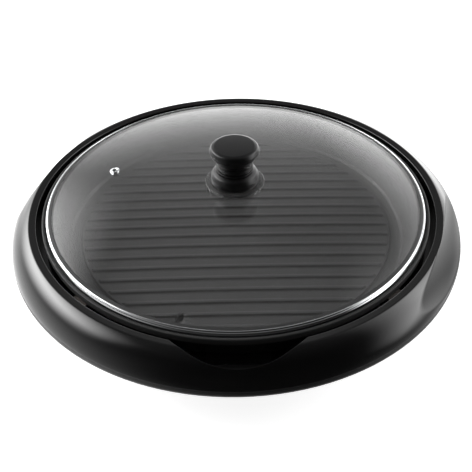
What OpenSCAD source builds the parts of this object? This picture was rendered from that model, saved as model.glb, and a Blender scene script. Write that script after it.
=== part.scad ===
// Electric indoor grill: a ribbed round hot plate that lifts out of a cool shell, under a loose glass lid.
// Z is up, the table is z = 0, and the control inlet faces -Y.

/* [Lid] */
// Outer diameter of the lid's steel rim band
lid_d = 360; // [340:1:380]
// Height of the lid's rim plane above the table
rim_z = 88; // [86:0.5:100]
// Rise of the glass crown above the rim plane
glass_rise = 17.3; // [14:0.1:24]
// Thickness of the glass
glass_t = 4; // [3:0.5:5]
// Width of the steel band seen from above
band_w = 3.7; // [3:0.1:6]
// Depth of the steel band below the rim plane
band_drop = 4.8; // [4.5:0.1:6]
// Sheet thickness of the steel band
band_t = 0.6; // [0.5:0.1:1]
// Distance of the steam vent from the lid's centre
vent_pos_r = 124; // [90:1:140]
// Direction of the steam vent, in degrees from +X
vent_dir = 164; // [0:1:359]
// Diameter of the steam vent's bore
vent_bore_d = 5; // [3:0.2:6]

/* [Knob] */
// Height of the knob above its pad
knob_h = 39; // [34:0.5:50]
// Diameter of the knob's top disc
knob_top_d = 46.6; // [40:0.2:60]
// Diameter of the knob's waist
knob_waist_d = 33.6; // [30:0.2:38]
// Diameter of the knob's foot
knob_foot_d = 45.2; // [42:0.2:52]
// Diameter of the clear pad under the knob
pad_d = 56; // [50:0.5:70]
// Thickness of the clear pad where the knob sits
pad_t = 1.7; // [1.2:0.1:3]
// Thread diameter of the knob's screw
knob_screw_d = 5; // [4:0.5:6]

/* [Hot plate] */
// Radial play between the lid band and the plate's raised lip
lid_play = 1.2; // [0.6:0.1:2]
// Thickness of the plate's raised lip
lip_w = 2.8; // [2.4:0.1:4]
// Height of the raised lip above the lid's ledge
lip_h = 2.7; // [1.5:0.1:4]
// Width of the ledge that carries the lid
ledge_w = 9.2; // [7:0.1:12]
// Thickness of the ledge
ledge_t = 3.5; // [3:0.1:4.5]
// Horizontal run of the plate's sloping side wall
wall_run = 9.5; // [6:0.1:12]
// Thickness of the plate's sloping side wall
wall_t = 3.5; // [3:0.1:4.5]
// Depth of the plate from the ledge to the edge of the ribbed zone
dish_depth = 31; // [28:0.5:34]
// Width of the grease channel around the ribbed zone
channel_w = 12.5; // [10:0.1:16]
// Depth of the grease channel below the ribbed zone
channel_depth = 2.5; // [2:0.1:4]
// Metal left under the grease channel
channel_t = 3; // [2.5:0.1:4]
// Rise of the ribbed zone's crown at its centre
crown = 2.4; // [1:0.1:4]
// Metal under the edge of the ribbed zone
plate_t = 4.5; // [4:0.1:6]
// Spacing of the ribs
rib_pitch = 15; // [12:0.5:20]
// Offset of the middle rib from the centre line
rib_offset = -5.4; // [-7:0.1:7]
// Width of a rib at its foot
rib_w = 4; // [3:0.1:6]
// Height of a rib
rib_h = 2.2; // [1.5:0.1:3]
// Diameter of the grease drain hole
drain_d = 9; // [6:0.5:10]
// Direction of the grease drain, in degrees from +X
drain_dir = 249; // [235:1:252]

/* [Heating element] */
// Radius of the heating element's ring
elem_r = 105; // [95:1:112]
// Diameter of the heating element's sheath
elem_d = 7; // [6:0.1:8]
// Number of clips along the element's ring
clip_n = 5; // [3:1:7]
// Diameter of the two terminal pins
pin_d = 4.8; // [4:0.1:5]
// Spacing of the two terminal pins
pin_gap = 22; // [20:0.5:26]
// Bore of the temperature probe's tube
probe_bore_d = 6.8; // [6:0.1:7.4]
// Depth of the terminals' axis below the plate's flat underside
pin_drop = 7.5; // [7:0.1:8.5]
// Length of the temperature probe's tube behind its bracket
probe_len = 44; // [30:1:60]

/* [Shell] */
// Gap between the plate's lip and the shell's well
well_gap = 5.3; // [4:0.1:8]
// Width of the shell's top lip band
brow_w = 6.5; // [5:0.1:9]
// Width of the rounded flank outside the lip band
flank_w = 19.8; // [17:0.1:26]
// Depth of the widest line below the rim plane
belt_drop = 30; // [28:0.5:34]
// Depth of the lip band's outer ridge below the rim plane
ridge_drop = 1.5; // [1:0.1:2]
// Fall of the lip band from its ridge to the well
brow_fall = 1; // [0.5:0.1:2]
// Wall thickness of the shell's mouldings
shell_t = 3; // [2.4:0.1:3.4]
// Height of the parting line above the widest line
seam_rise = 3.5; // [2.5:0.1:5]
// Radius of the turn below the widest line
turn_r = 5; // [4:0.5:8]
// Depth of the well's inner shelf below the rim plane
shelf_drop = 20; // [19:0.5:22]
// Thickness of the well's inner shelf
shelf_t = 2.5; // [2:0.1:3]
// Reach of the well's inner shelf
shelf_w = 7.8; // [7:0.1:9]

/* [Hand-holds] */
// Radius of each scoop's hollow
scoop_r = 60; // [45:1:80]
// Deepest cut of each scoop into the flank
scoop_depth = 6.4; // [4:0.1:7]
// Upward tilt of each scoop's cut
scoop_tilt = 39.9; // [36:0.1:42]
// Flattening of each scoop across the shell
scoop_flat = 197; // [150:1:240]
// Turn of the two opposite scoops from the side axis, towards the front on the right
scoop_turn = 21; // [0:1:24]

/* [Control bay] */
// Radius of the front finger notch
notch_r = 69; // [60:1:75]
// Reach of the notch beyond the well
notch_reach = 17.7; // [12:0.1:19]
// Clear width of the control bay
bay_w = 78; // [72:1:90]
// Wall thickness of the bay's liner
liner_t = 2; // [1.5:0.1:3]

/* [Drip tray and feet] */
// Height of the rubber feet
foot_h = 8; // [6:0.5:12]
// Diameter of the rubber feet
foot_d = 24; // [18:0.5:30]
// Radius of the circle of feet
foot_pos_r = 148; // [130:1:152]
// Height of the heat shield's spacers
spacer_h = 4; // [3:0.5:5]
// Sheet thickness of the heat shield
shield_t = 0.8; // [0.6:0.1:1.2]
// Sheet thickness of the drip tray
tray_t = 1; // [0.8:0.1:1.5]
// Gap between the heat shield's rim and the shell's inner corner
shield_gap = 1.4; // [1:0.1:3]
// Run of the drip tray's sloping wall, from its flat bottom to its rim's edge
tray_run = 22; // [18:0.5:24]
// Number of vent slots in the shell's floor
slot_n = 12; // [6:1:18]

/* [Hidden] */

$fn = 96;
ARC_FN = 360;        // facets of the long arcs
BIG = 400;           // longer than anything it cuts
seat_gap = 0.2;      // play between a piece that lifts out and its seat
slip = 0.1;          // play between fitted pieces
screw_r = 1.65;      // thread radius of the small screws
pilot_r = 1.7;       // radius of the holes they bite in
head_r = 3.5;        // head radius of the small screws
head_h = 2;          // head height of the small screws

// Lid
lid_r = lid_d / 2;
glass_r = lid_r - band_t - slip;
glass_ball_r = (glass_r * glass_r + glass_rise * glass_rise) / (2 * glass_rise);
glass_ball_z = rim_z + glass_rise - glass_ball_r;
glass_hole_r = knob_screw_d / 2 + 1.5;
band_rise = 1.1;
band_round = 2.2;
eyelet_t = 0.8;
eyelet_flange_w = 2.2;
pad_z = rim_z + glass_rise + pad_t;
seal_t = 1.2;
washer_t = 1;
washer_r = 9;
seal_r = 10;
under_glass_z = glass_ball_z + sqrt(pow(glass_ball_r - glass_t, 2) - pow(seal_r, 2));
washer_z = under_glass_z - seal_t - washer_t;
knob_head_h = 3;
insert_r = knob_screw_d / 2 + 1.6;
insert_h = 14;

// Plate
ledge_z = rim_z - band_drop - seat_gap;
lip_in_r = lid_r + lid_play;
lip_out_r = lip_in_r + lip_w;
ledge_in_r = lip_in_r - ledge_w;
channel_out_r = ledge_in_r - wall_run;
cook_r = channel_out_r - channel_w;
cook_z = ledge_z - dish_depth;
crown_steps = 10;     // straight bands that make up the crown
rib_taper = 0.6;
channel_z = cook_z - channel_depth;
under_z = cook_z - plate_t;
ledge_under_z = ledge_z - ledge_t;
rib_n = floor(cook_r / rib_pitch);
drain_pos_r = channel_out_r - drain_d / 2 - 2.5;
trough_run = 20;      // length of the trough that leads from the ribbed zone to the drain
trough_w = 6;

// Element and terminals
elem_z = under_z - slip - elem_d / 2;
pin_z = under_z - pin_drop;
leg_x = pin_gap / 2;
bend_r = 15;
bend_x = leg_x + bend_r;
bend_y = -sqrt(pow(elem_r + bend_r, 2) - bend_x * bend_x);
ring_cut = acos(bend_x / (elem_r + bend_r));   // angle from +X down to each end of the ring
bracket_y = -cook_r + 4;
bracket_t = 1.5;
bracket_w = 54;
bracket_flange = 13;
bracket_bite = 2.5;    // how deep its screws bite into the plate
leg_end_y = bracket_y + 5;
leg_drop_y = leg_end_y + 7;
leg_slope = 12;        // length of the slope from the pins' height up to the plate
leg_flat_y = leg_drop_y + leg_slope;
guard_end_y = -lip_out_r + 8;
guard_t = 0.8;
guard_bottom_z = pin_z - pin_d / 2 - 5.6;
guard_top_z = channel_z - channel_t - 0.8;
clip_reach = 9.5;
clip_w = 10;
clip_t = 1.5;
boss_r = 4.5;
clip_z = elem_z - elem_d / 2 - slip;
bush_r = 4.1;
bush_flange_r = 4.6;
bush_end_y = bracket_y - bracket_t - 3;
shank_r = pin_d / 2 - 0.3;   // radius of a terminal pin inside its bush
probe_r = probe_bore_d / 2 + 1;
probe_end_y = bracket_y + probe_len;
probe_grip = 27;       // length of the saddle over the probe's tube
probe_front = 6;       // how far its mouth stays inside the guard
probe_wall = 2;

// Shell
well_z = rim_z - ridge_drop - brow_fall;
ridge_z = rim_z - ridge_drop;
belt_z = rim_z - belt_drop;
seam_z = belt_z + seam_rise;
well_r = lip_out_r + well_gap;
ridge_r = well_r + brow_w;
base_r = ridge_r + flank_w;
flank_rise = ridge_z - belt_z;
flank_arc_r = (flank_w * flank_w + flank_rise * flank_rise) / (2 * flank_w);
flank_arc_x = base_r - flank_arc_r;
turn_x = base_r - turn_r;
shelf_z = rim_z - shelf_drop;
shelf_in_r = well_r - shelf_w;
skirt_r = well_r + 2.5;
floor_z = foot_h;
floor_in_z = floor_z + shell_t;
scoop_reach = flank_arc_r - scoop_depth + scoop_r;
scoop_ring_r = flank_arc_x + scoop_reach * cos(scoop_tilt) + scoop_flat;
scoop_ring_z = belt_z + scoop_reach * sin(scoop_tilt);
notch_y = -(well_r + notch_reach - notch_r);
scoop_sweep = 35;      // half the sweep of each scoop's cutter, in degrees
scoop_clear_y = base_r * sin(0.75 * scoop_sweep);   // half the length kept clear at each hollow
tongue_h = 2.5;
tongue_t = 2;
tongue_play = 0.4;

// Screw posts between the two shell mouldings
post_dirs = [50, 90, 130, 228, 252, 288, 312];
post_r = 5;
post_pos_r = skirt_r + post_r - 0.5;
post_split_z = seam_z + 3;
post_grip = 12;        // plastic between a screw's head and the joint of its post
post_head_z = post_split_z - post_grip;
ring_screw_len = 22;

// Bay liner
liner_in_x = bay_w / 2;
liner_out_x = liner_in_x + liner_t;
liner_inward = 13;     // how far the liner's side walls reach inside the well
liner_outward = 9;
liner_back_y = -well_r + liner_inward;
liner_front_y = -well_r - liner_outward;
liner_top_z = shelf_z - shelf_t;
tab_w = 12;
tab_t = 2;
tab_y = -sqrt(pow(shelf_in_r + 4.5, 2) - pow(liner_out_x + tab_w / 2, 2));
liner_post_h = 8;
tab_z = liner_top_z - liner_post_h;

// Rests under the plate's ledge
rest_dirs = [45, 135, 225, 315];
rest_in_r = ledge_in_r + 5;
rest_out_r = well_r - 0.8;
rest_w = 16;
rest_bite = 6;         // how deep a screw bites into a rest
rest_z = ledge_under_z - seat_gap;
rest_screw_pos_r = shelf_in_r + shelf_w / 2 - 0.4;

// Shield, tray and feet
shield_post_h = 3.2;
shield_post_r = 5;
shield_z = floor_in_z + shield_post_h + spacer_h;
shield_rim_w = 3;
shield_rim_h = 5;
shield_flat_r = floor_r(shell_t) - shield_gap - shield_rim_w;
shield_pos_r = shield_flat_r - shield_post_r - 1;
tray_floor_r = shield_pos_r - head_r - 6.5;   // the tray's wall rises over the shield's screws
tray_r = tray_floor_r + tray_run;
tray_z = shield_z + shield_t + seat_gap;
tray_top_z = guard_bottom_z - 1.2;
tray_curl = 2;
foot_dirs = [45, 135, 225, 315];
foot_post_h = shield_post_h + 2.4;
slot_in_r = 60;
slot_out_r = 110;
slot_w = 4;

function crown_at(r) = cook_z + crown * (1 - pow(r / cook_r, 2));

function crown_line(r_max, lift) = // the crown's section, from r_max in to the axis
    [for (i = [crown_steps : -1 : 0]) let (r = r_max * i / crown_steps) [r, crown_at(r) + lift]];

function floor_r(inset) = // radius where the 45 degree underside meets the floor
    turn_x + (turn_r - inset) * cos(45)
    - (belt_z - (turn_r - inset) * sin(45) - floor_z - inset);

// A thing drawn pointing along +Z, turned to point along -Y from the given point
module forwards(at) {
    translate(at) rotate([90, 0, 0]) children();
}

module screw(len, r = screw_r) { // head below z = 0, thread above
    cylinder(h = len, r = r);
    translate([0, 0, -head_h]) cylinder(h = head_h, r = head_r);
}

module tube(h, r_out, r_in) {
    difference() {
        cylinder(h = h, r = r_out);
        translate([0, 0, -1]) cylinder(h = h + 2, r = r_in);
    }
}

// ---- Shell ----

module flank_disc(inset) { // the round section of the flank
    translate([flank_arc_x, belt_z]) circle(r = flank_arc_r - inset, $fn = ARC_FN);
}

module scoop_section(grow) { // the hollow's section, its arc drawn as short flats
    span = 24;
    step = 4;
    rotate(180 + scoop_tilt)
        polygon(concat([[scoop_r * 0.4, -scoop_r / 2]],
                       [for (a = [-span : step : span]) (scoop_r + grow) * [cos(a), sin(a)]],
                       [[scoop_r * 0.4, scoop_r / 2]]));
}

module scoop_pair(grow) { // the two hollows that hands reach into
    for (side = [0, 180]) rotate([0, 0, side - scoop_turn])
        translate([-scoop_flat, 0, 0]) rotate([0, 0, -scoop_sweep])
            rotate_extrude(angle = 2 * scoop_sweep, $fn = ARC_FN)
                translate([scoop_ring_r, scoop_ring_z]) scoop_section(grow);
}

module notch_well(grow) { // the finger notch, with the shelf as its floor
    translate([0, notch_y, shelf_z - grow]) cylinder(h = BIG, r = notch_r + grow, $fn = ARC_FN);
}

module ring_outline() { // solid section of the shell's upper half, from the well outwards
    brow_slope = brow_fall / brow_w;
    intersection() {
        flank_disc(0);
        polygon([[well_r, seam_z], [base_r + 1, seam_z],
                 [base_r + 1, well_z + (base_r + 1 - well_r) * brow_slope], [well_r, well_z]]);
    }
}

module ring_hollow() { // the space between the well's wall and the flank's wall
    intersection() {
        flank_disc(shell_t);
        polygon([[skirt_r, seam_z - 1], [base_r, seam_z - 1], [base_r, well_z - shell_t],
                 [skirt_r, well_z - shell_t]]);
    }
}

module base_ring() color([0.05, 0.05, 0.055]) {
    difference() {
        union() {
            difference() {
                rotate_extrude($fn = ARC_FN) ring_outline();
                scoop_pair(0);
                difference() {
                    rotate_extrude($fn = ARC_FN) ring_hollow();
                    scoop_pair(shell_t);
                    notch_well(shelf_t);
                }
            }
            // inner shelf, with the well's wall ending at its underside
            translate([0, 0, shelf_z - shelf_t]) tube(shelf_t, well_r + 0.5, shelf_in_r);
            for (a = post_dirs)
                rotate([0, 0, a]) translate([post_pos_r, 0, post_split_z])
                    cylinder(h = well_z - shell_t + 1 - post_split_z, r = post_r);
            for (side = [-1, 1])
                translate([side * (liner_out_x + tab_w / 2), tab_y, tab_z])
                    cylinder(h = liner_post_h + 1, r = shelf_w / 2);
        }
        // the well's wall stops at the shelf
        translate([0, 0, seam_z - 1])
            difference() {
                tube(shelf_z - shelf_t - seam_z + 1, skirt_r, shelf_in_r - 1);
                for (side = [-1, 1])
                    translate([side * (liner_out_x + tab_w / 2), tab_y, -1])
                        cylinder(h = BIG, r = shelf_w / 2);
                for (a = post_dirs)
                    rotate([0, 0, a]) translate([post_pos_r, 0, post_split_z - seam_z + 1 + slip])
                        cylinder(h = BIG, r = post_r);
            }
        notch_well(0);
        // the control's way down through the shelf
        translate([-liner_in_x, -skirt_r - 1, tab_z - 1]) cube([bay_w, skirt_r, BIG]);
        for (a = post_dirs)
            rotate([0, 0, a]) translate([post_pos_r, 0, post_split_z - 1])
                cylinder(h = post_head_z + ring_screw_len + 2.5 - post_split_z, r = pilot_r);
        for (a = rest_dirs)
            rotate([0, 0, a]) translate([rest_screw_pos_r, 0, shelf_z - shelf_t - 1])
                cylinder(h = shelf_t + 2, r = screw_r + slip);
        for (side = [-1, 1])
            translate([side * (liner_out_x + tab_w / 2), tab_y, tab_z - 1])
                cylinder(h = liner_post_h, r = pilot_r);
    }
}

module bowl_outline(inset) { // section of the shell's lower half, filled to the axis
    foot_x = turn_x + (turn_r - inset) * cos(45);
    foot_y = belt_z - (turn_r - inset) * sin(45);
    polygon([[0, floor_z + inset], [floor_r(inset), floor_z + inset], [foot_x, foot_y],
             [turn_x, belt_z], [turn_x, seam_z], [0, seam_z]]);
    translate([turn_x, belt_z]) intersection() {
        circle(r = turn_r - inset);
        translate([0, -turn_r]) square([turn_r, turn_r]);
    }
    intersection() {
        flank_disc(inset);
        translate([turn_x - 2, belt_z]) square([turn_r + 4, seam_rise]);
    }
}

function wall_in_r(z) = flank_arc_x + sqrt(pow(flank_arc_r - shell_t, 2) - pow(z - belt_z, 2));

module lower_housing() color([0.045, 0.045, 0.05]) {
    tongue_r = wall_in_r(seam_z + tongue_h) - tongue_play;
    difference() {
        union() {
            rotate_extrude($fn = ARC_FN) difference() {
                bowl_outline(0);
                bowl_outline(shell_t);
                translate([0, seam_z - 0.01]) square([turn_x, 1]);
            }
            // tongue that centres the upper half, between the two scoops
            difference() {
                translate([0, 0, seam_z - 4]) tube(4 + tongue_h, tongue_r, tongue_r - tongue_t);
                rotate([0, 0, -scoop_turn]) translate([-BIG, -scoop_clear_y, seam_z])
                    cube([2 * BIG, 2 * scoop_clear_y, BIG]);
            }
            translate([0, 0, seam_z - 4]) tube(4, wall_in_r(seam_z) + 0.5, tongue_r - tongue_t);
            intersection() {
                for (a = post_dirs)
                    rotate([0, 0, a]) translate([post_pos_r, 0, floor_z])
                        cylinder(h = post_split_z - floor_z, r = post_r + 1);
                rotate_extrude($fn = ARC_FN) union() {
                    bowl_outline(0);
                    translate([0, seam_z - 1]) square([turn_x - 2, post_split_z - seam_z + 1]);
                }
            }
            for (a = [0 : 90 : 270])
                rotate([0, 0, a]) translate([shield_pos_r, 0, floor_z + 1])
                    cylinder(h = shell_t + shield_post_h - 1, r = shield_post_r);
            for (a = foot_dirs)
                rotate([0, 0, a]) translate([foot_pos_r, 0, floor_z + 1])
                    cylinder(h = shell_t + foot_post_h - 1, r = shield_post_r);
        }
        for (a = post_dirs)
            rotate([0, 0, a]) translate([post_pos_r, 0, 0]) {
                cylinder(h = BIG, r = screw_r + slip);
                cylinder(h = post_head_z, r = head_r + 0.4);
            }
        for (a = [0 : 90 : 270])
            rotate([0, 0, a]) translate([shield_pos_r, 0, floor_z + 1.4])
                cylinder(h = BIG, r = pilot_r);
        for (a = foot_dirs)
            rotate([0, 0, a]) translate([foot_pos_r, 0, 0])
                cylinder(h = floor_z + shell_t + foot_post_h - 1.4, r = pilot_r);
        for (i = [0 : slot_n - 1])
            rotate([0, 0, i * 360 / slot_n + 180 / slot_n])
                translate([0, 0, floor_z - 1]) linear_extrude(shell_t + 2) {
                    translate([slot_in_r, -slot_w / 2]) square([slot_out_r - slot_in_r, slot_w]);
                    for (x = [slot_in_r, slot_out_r]) translate([x, 0]) circle(d = slot_w);
                }
    }
}

module ring_screws() color("dimgray") {
    for (a = post_dirs)
        rotate([0, 0, a]) translate([post_pos_r, 0, post_head_z]) screw(ring_screw_len);
}

module rubber_feet() color([0.12, 0.12, 0.12]) {
    for (a = foot_dirs)
        rotate([0, 0, a]) translate([foot_pos_r, 0, 0]) difference() {
            cylinder(h = foot_h, r = foot_d / 2);
            translate([0, 0, -1]) cylinder(h = foot_h + 2, r = screw_r + slip);
            translate([0, 0, -1]) cylinder(h = foot_h / 2 + 1, r = head_r + 1);
        }
}

module foot_screws() color("silver") {
    for (a = foot_dirs)
        rotate([0, 0, a]) translate([foot_pos_r, 0, foot_h / 2])
            screw(foot_h / 2 + shell_t + foot_post_h - 2);
}

// ---- Control bay and plate rests ----

module bay_liner() color([0.03, 0.03, 0.035]) {
    post_x = liner_out_x + tab_w / 2;
    intersection() {
        difference() {
            union() {
                translate([-liner_out_x, liner_front_y, floor_in_z])
                    cube([2 * liner_out_x, liner_back_y - liner_front_y, liner_top_z - slip - floor_in_z]);
                translate([-liner_out_x - tab_w, tab_y - tab_w / 2, tab_z - tab_t])
                    cube([2 * (liner_out_x + tab_w), tab_w, tab_t]);
            }
            translate([-liner_in_x, liner_front_y + liner_t, 0]) cube([bay_w, BIG, BIG]);
            for (x = [-post_x, post_x])
                translate([x, tab_y, 0]) cylinder(h = BIG, r = screw_r + slip);
        }
        rotate_extrude($fn = ARC_FN) {
            bowl_outline(shell_t + slip);
            translate([0, seam_z - 1]) square([flank_arc_x + flank_arc_r / 2, BIG]);
        }
    }
}

module liner_screws() color("silver") {
    for (side = [-1, 1])
        translate([side * (liner_out_x + tab_w / 2), tab_y, tab_z - tab_t])
            screw(tab_t + liner_post_h - 1.5);
}

module plate_rests() color([0.16, 0.13, 0.11]) {
    for (a = rest_dirs)
        rotate([0, 0, a]) difference() {
            intersection() {
                translate([0, -rest_w / 2, shelf_z]) cube([BIG, rest_w, rest_z - shelf_z]);
                translate([0, 0, shelf_z]) tube(BIG, rest_out_r, rest_in_r);
            }
            translate([rest_screw_pos_r, 0, shelf_z - 1]) cylinder(h = rest_bite + 2, r = pilot_r);
        }
}

module rest_screws() color("silver") {
    for (a = rest_dirs)
        rotate([0, 0, a]) translate([rest_screw_pos_r, 0, shelf_z - shelf_t])
            screw(shelf_t + rest_bite);
}

// ---- Heat shield and drip tray ----

module heat_shield() color([0.75, 0.75, 0.76]) {
    difference() {
        rotate_extrude($fn = ARC_FN)
            polygon([[0, shield_z], [shield_flat_r, shield_z],
                     [shield_flat_r + shield_rim_w, shield_z + shield_rim_h],
                     [shield_flat_r + shield_rim_w - shield_t, shield_z + shield_rim_h],
                     [shield_flat_r - shield_t, shield_z + shield_t], [0, shield_z + shield_t]]);
        for (a = [0 : 90 : 270])
            rotate([0, 0, a]) translate([shield_pos_r, 0, shield_z - 1])
                cylinder(h = shield_t + 2, r = screw_r + slip);
    }
}

module shield_spacers() color("white") {
    for (a = [0 : 90 : 270])
        rotate([0, 0, a]) translate([shield_pos_r, 0, shield_z - spacer_h])
            tube(spacer_h, shield_post_r, screw_r + slip);
}

module shield_screws() color("silver") {
    for (a = [0 : 90 : 270])
        rotate([0, 0, a]) translate([shield_pos_r, 0, shield_z + shield_t]) mirror([0, 0, 1])
            screw(shield_t + spacer_h + shield_post_h + 1);
}

module drip_tray() color([0.72, 0.72, 0.72]) {
    rotate_extrude($fn = ARC_FN)
        polygon([[0, tray_z], [tray_floor_r, tray_z],
                 [tray_r - tray_curl, tray_top_z - tray_t], [tray_r, tray_top_z - tray_t],
                 [tray_r, tray_top_z], [tray_r - tray_curl - tray_t, tray_top_z],
                 [tray_floor_r - tray_t, tray_z + tray_t], [0, tray_z + tray_t]]);
}

// ---- Hot plate ----

module plate_outline() { // section of the casting, with the ribs left off
    polygon(concat([[0, under_z], [cook_r, under_z], [cook_r + 1, channel_z - channel_t],
                    [channel_out_r + 1, channel_z - channel_t],
                    [channel_out_r + wall_t, channel_z],
                    [ledge_in_r + wall_t, ledge_under_z], [lip_out_r, ledge_under_z],
                    [lip_out_r, ledge_z + lip_h - lip_w / 2], [lip_in_r, ledge_z + lip_h - lip_w / 2],
                    [lip_in_r, ledge_z], [ledge_in_r + 1, ledge_z], [ledge_in_r, ledge_z - 1],
                    [channel_out_r + 0.7, channel_z + 2.5], [channel_out_r - 1.5, channel_z],
                    [cook_r + 1, channel_z]],
                   crown_line(cook_r, 0)));
    translate([lip_in_r + lip_w / 2, ledge_z + lip_h - lip_w / 2]) circle(r = lip_w / 2);
}

module ribs() {
    rib_end_r = cook_r - 1;
    rib_low_z = cook_z - 0.8;
    intersection() {
        for (k = [-rib_n : rib_n])
            translate([-cook_r, rib_offset + k * rib_pitch, cook_z])
                rotate([90, 0, 90]) linear_extrude(2 * cook_r)
                    polygon([[-rib_w / 2, -1], [rib_w / 2, -1], [rib_w / 2, 0],
                             [rib_w / 2 - rib_taper, crown + rib_h + 1],
                             [rib_taper - rib_w / 2, crown + rib_h + 1], [-rib_w / 2, 0]]);
        rotate_extrude($fn = ARC_FN)
            polygon(concat([[0, rib_low_z], [rib_end_r, rib_low_z]], crown_line(rib_end_r, rib_h)));
    }
}

module clip_places() { // along the element's ring, clear of its two ends
    for (i = [0 : clip_n - 1])
        rotate([0, 0, -90 + 360 * (i + 1) / (clip_n + 1)]) children();
}

module bracket_holes() { // the two places where the bracket is screwed under the plate
    for (x = [-1, 1] * (bracket_w / 2 - 2 * head_r))
        translate([x, bracket_y + bracket_flange / 2 + 1, under_z]) children();
}

module plate_band(low, high) { // the casting outside the ribbed zone, between two heights
    rotate_extrude($fn = ARC_FN) intersection() {
        plate_outline();
        translate([cook_r + 1, low]) square([BIG, high - low]);
    }
}

module plate_wall() color([0.1, 0.1, 0.1]) {
    plate_band(channel_z, ledge_under_z);
}

module plate_ledge() color([0.1, 0.1, 0.1]) {
    plate_band(ledge_under_z, rim_z);
}

module grill_plate() color([0.1, 0.1, 0.1]) {
    difference() {
        union() {
            plate_band(0, channel_z);
            rotate_extrude($fn = ARC_FN) intersection() {
                plate_outline();
                square([cook_r + 1, rim_z]);
            }
            ribs();
            clip_places() for (side = [-1, 1])
                translate([elem_r + side * clip_reach, 0, clip_z])
                    cylinder(h = under_z - clip_z + 1, r = boss_r);
            // saddle over the probe's tube
            translate([-probe_r - probe_wall, probe_end_y - probe_wall - probe_grip, pin_z + probe_wall])
                cube([2 * (probe_r + probe_wall), probe_grip, under_z + 0.5 - pin_z - probe_wall]);
        }
        forwards([0, probe_end_y + 1, pin_z]) cylinder(h = probe_len, r = probe_r + slip);
        clip_places() for (side = [-1, 1])
            translate([elem_r + side * clip_reach, 0, clip_z - 1])
                cylinder(h = under_z - clip_z + 3, r = pilot_r);
        bracket_holes() translate([0, 0, -1]) cylinder(h = bracket_bite + 1.5, r = pilot_r);
        rotate([0, 0, drain_dir]) {
            translate([drain_pos_r, 0, 0]) cylinder(h = rim_z, r = drain_d / 2);
            // trough from the ribbed zone to the drain
            translate([drain_pos_r - trough_run, -trough_w / 2, channel_z]) cube([trough_run, trough_w, BIG]);
            translate([drain_pos_r - trough_run, 0, channel_z]) cylinder(h = BIG, d = trough_w);
        }
    }
}

// ---- Element and terminals ----

module heating_element() color([0.35, 0.33, 0.32]) {
    drop = elem_z - pin_z;
    run = leg_flat_y - leg_drop_y;
    joint = 0.02;    // how much the ball at each joint stands proud, so that the stretches fuse
    translate([0, 0, elem_z]) rotate([0, 0, -ring_cut])
        rotate_extrude(angle = 180 + 2 * ring_cut) translate([elem_r, 0]) circle(d = elem_d);
    for (side = [0, 1]) mirror([side, 0, 0]) {
        translate([bend_x, bend_y, elem_z]) rotate([0, 0, 180 - ring_cut])
            rotate_extrude(angle = ring_cut) translate([bend_r, 0]) circle(d = elem_d);
        rotate([0, 0, -ring_cut]) translate([elem_r, 0, elem_z]) sphere(d = elem_d + joint);
        translate([leg_x, bend_y, elem_z]) sphere(d = elem_d + joint);
        translate([leg_x, leg_flat_y, elem_z]) {
            rotate([-90, 0, 0]) cylinder(h = bend_y - leg_flat_y, d = elem_d);
            sphere(d = elem_d + joint);
            rotate([90 + atan(drop / run), 0, 0])
                cylinder(h = sqrt(drop * drop + run * run), d = elem_d);
        }
        translate([leg_x, leg_drop_y, pin_z]) {
            sphere(d = elem_d + joint);
            rotate([90, 0, 0]) cylinder(h = leg_drop_y - leg_end_y, d = elem_d);
        }
    }
}

module element_clips() color("silver") {
    clip_places() difference() {
        translate([elem_r - clip_reach - boss_r, -clip_w / 2, clip_z - clip_t])
            cube([2 * (clip_reach + boss_r), clip_w, clip_t]);
        for (side = [-1, 1])
            translate([elem_r + side * clip_reach, 0, clip_z - clip_t - 1])
                cylinder(h = clip_t + 2, r = screw_r + slip);
    }
}

module clip_screws() color("silver") {
    clip_places() for (side = [-1, 1])
        translate([elem_r + side * clip_reach, 0, clip_z - clip_t])
            screw(clip_t + elem_d + 1);
}

module terminal_bracket() color([0.7, 0.7, 0.72]) {
    difference() {
        union() {
            translate([-bracket_w / 2, bracket_y - bracket_t, guard_bottom_z])
                cube([bracket_w, bracket_t, under_z - guard_bottom_z]);
            translate([-bracket_w / 2, bracket_y - bracket_t, under_z - bracket_t])
                cube([bracket_w, bracket_t + bracket_flange, bracket_t]);
        }
        for (side = [-1, 1])
            forwards([side * leg_x, bracket_y + 1, pin_z]) cylinder(h = bracket_t + 2, r = bush_r + slip);
        forwards([0, bracket_y + 1, pin_z]) cylinder(h = bracket_t + 2, r = probe_r + slip);
        bracket_holes() translate([0, 0, -bracket_t - 1])
            cylinder(h = bracket_t + 2, r = screw_r + slip);
    }
}

module bracket_screws() color("silver") {
    bracket_holes() translate([0, 0, -bracket_t]) screw(bracket_t + bracket_bite);
}

module terminal_pins() color([0.8, 0.78, 0.7]) {
    stud_end_y = guard_end_y + 2 + pin_d / 2;
    for (side = [-1, 1]) translate([side * leg_x, 0, pin_z]) {
        forwards([0, leg_end_y, 0]) cylinder(h = leg_end_y - bush_end_y + 1, r = shank_r);
        forwards([0, bush_end_y, 0]) cylinder(h = bush_end_y - stud_end_y, r = pin_d / 2);
        translate([0, stud_end_y, 0]) sphere(r = pin_d / 2);
    }
}

module pin_insulators() color([0.92, 0.9, 0.86]) {
    for (side = [-1, 1])
        forwards([side * leg_x, leg_end_y, pin_z]) difference() {
            union() {
                cylinder(h = leg_end_y - bush_end_y, r = bush_r);
                translate([0, 0, leg_end_y - bracket_y + bracket_t]) cylinder(h = 2, r = bush_flange_r);
            }
            translate([0, 0, -1]) cylinder(h = BIG, r = shank_r + slip);
        }
}

module probe_tube() color([0.7, 0.7, 0.7]) {
    forwards([0, probe_end_y, pin_z]) difference() {
        cylinder(h = probe_end_y - guard_end_y - probe_front, r = probe_r);
        translate([0, 0, probe_wall]) cylinder(h = BIG, d = probe_bore_d);
    }
}

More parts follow.
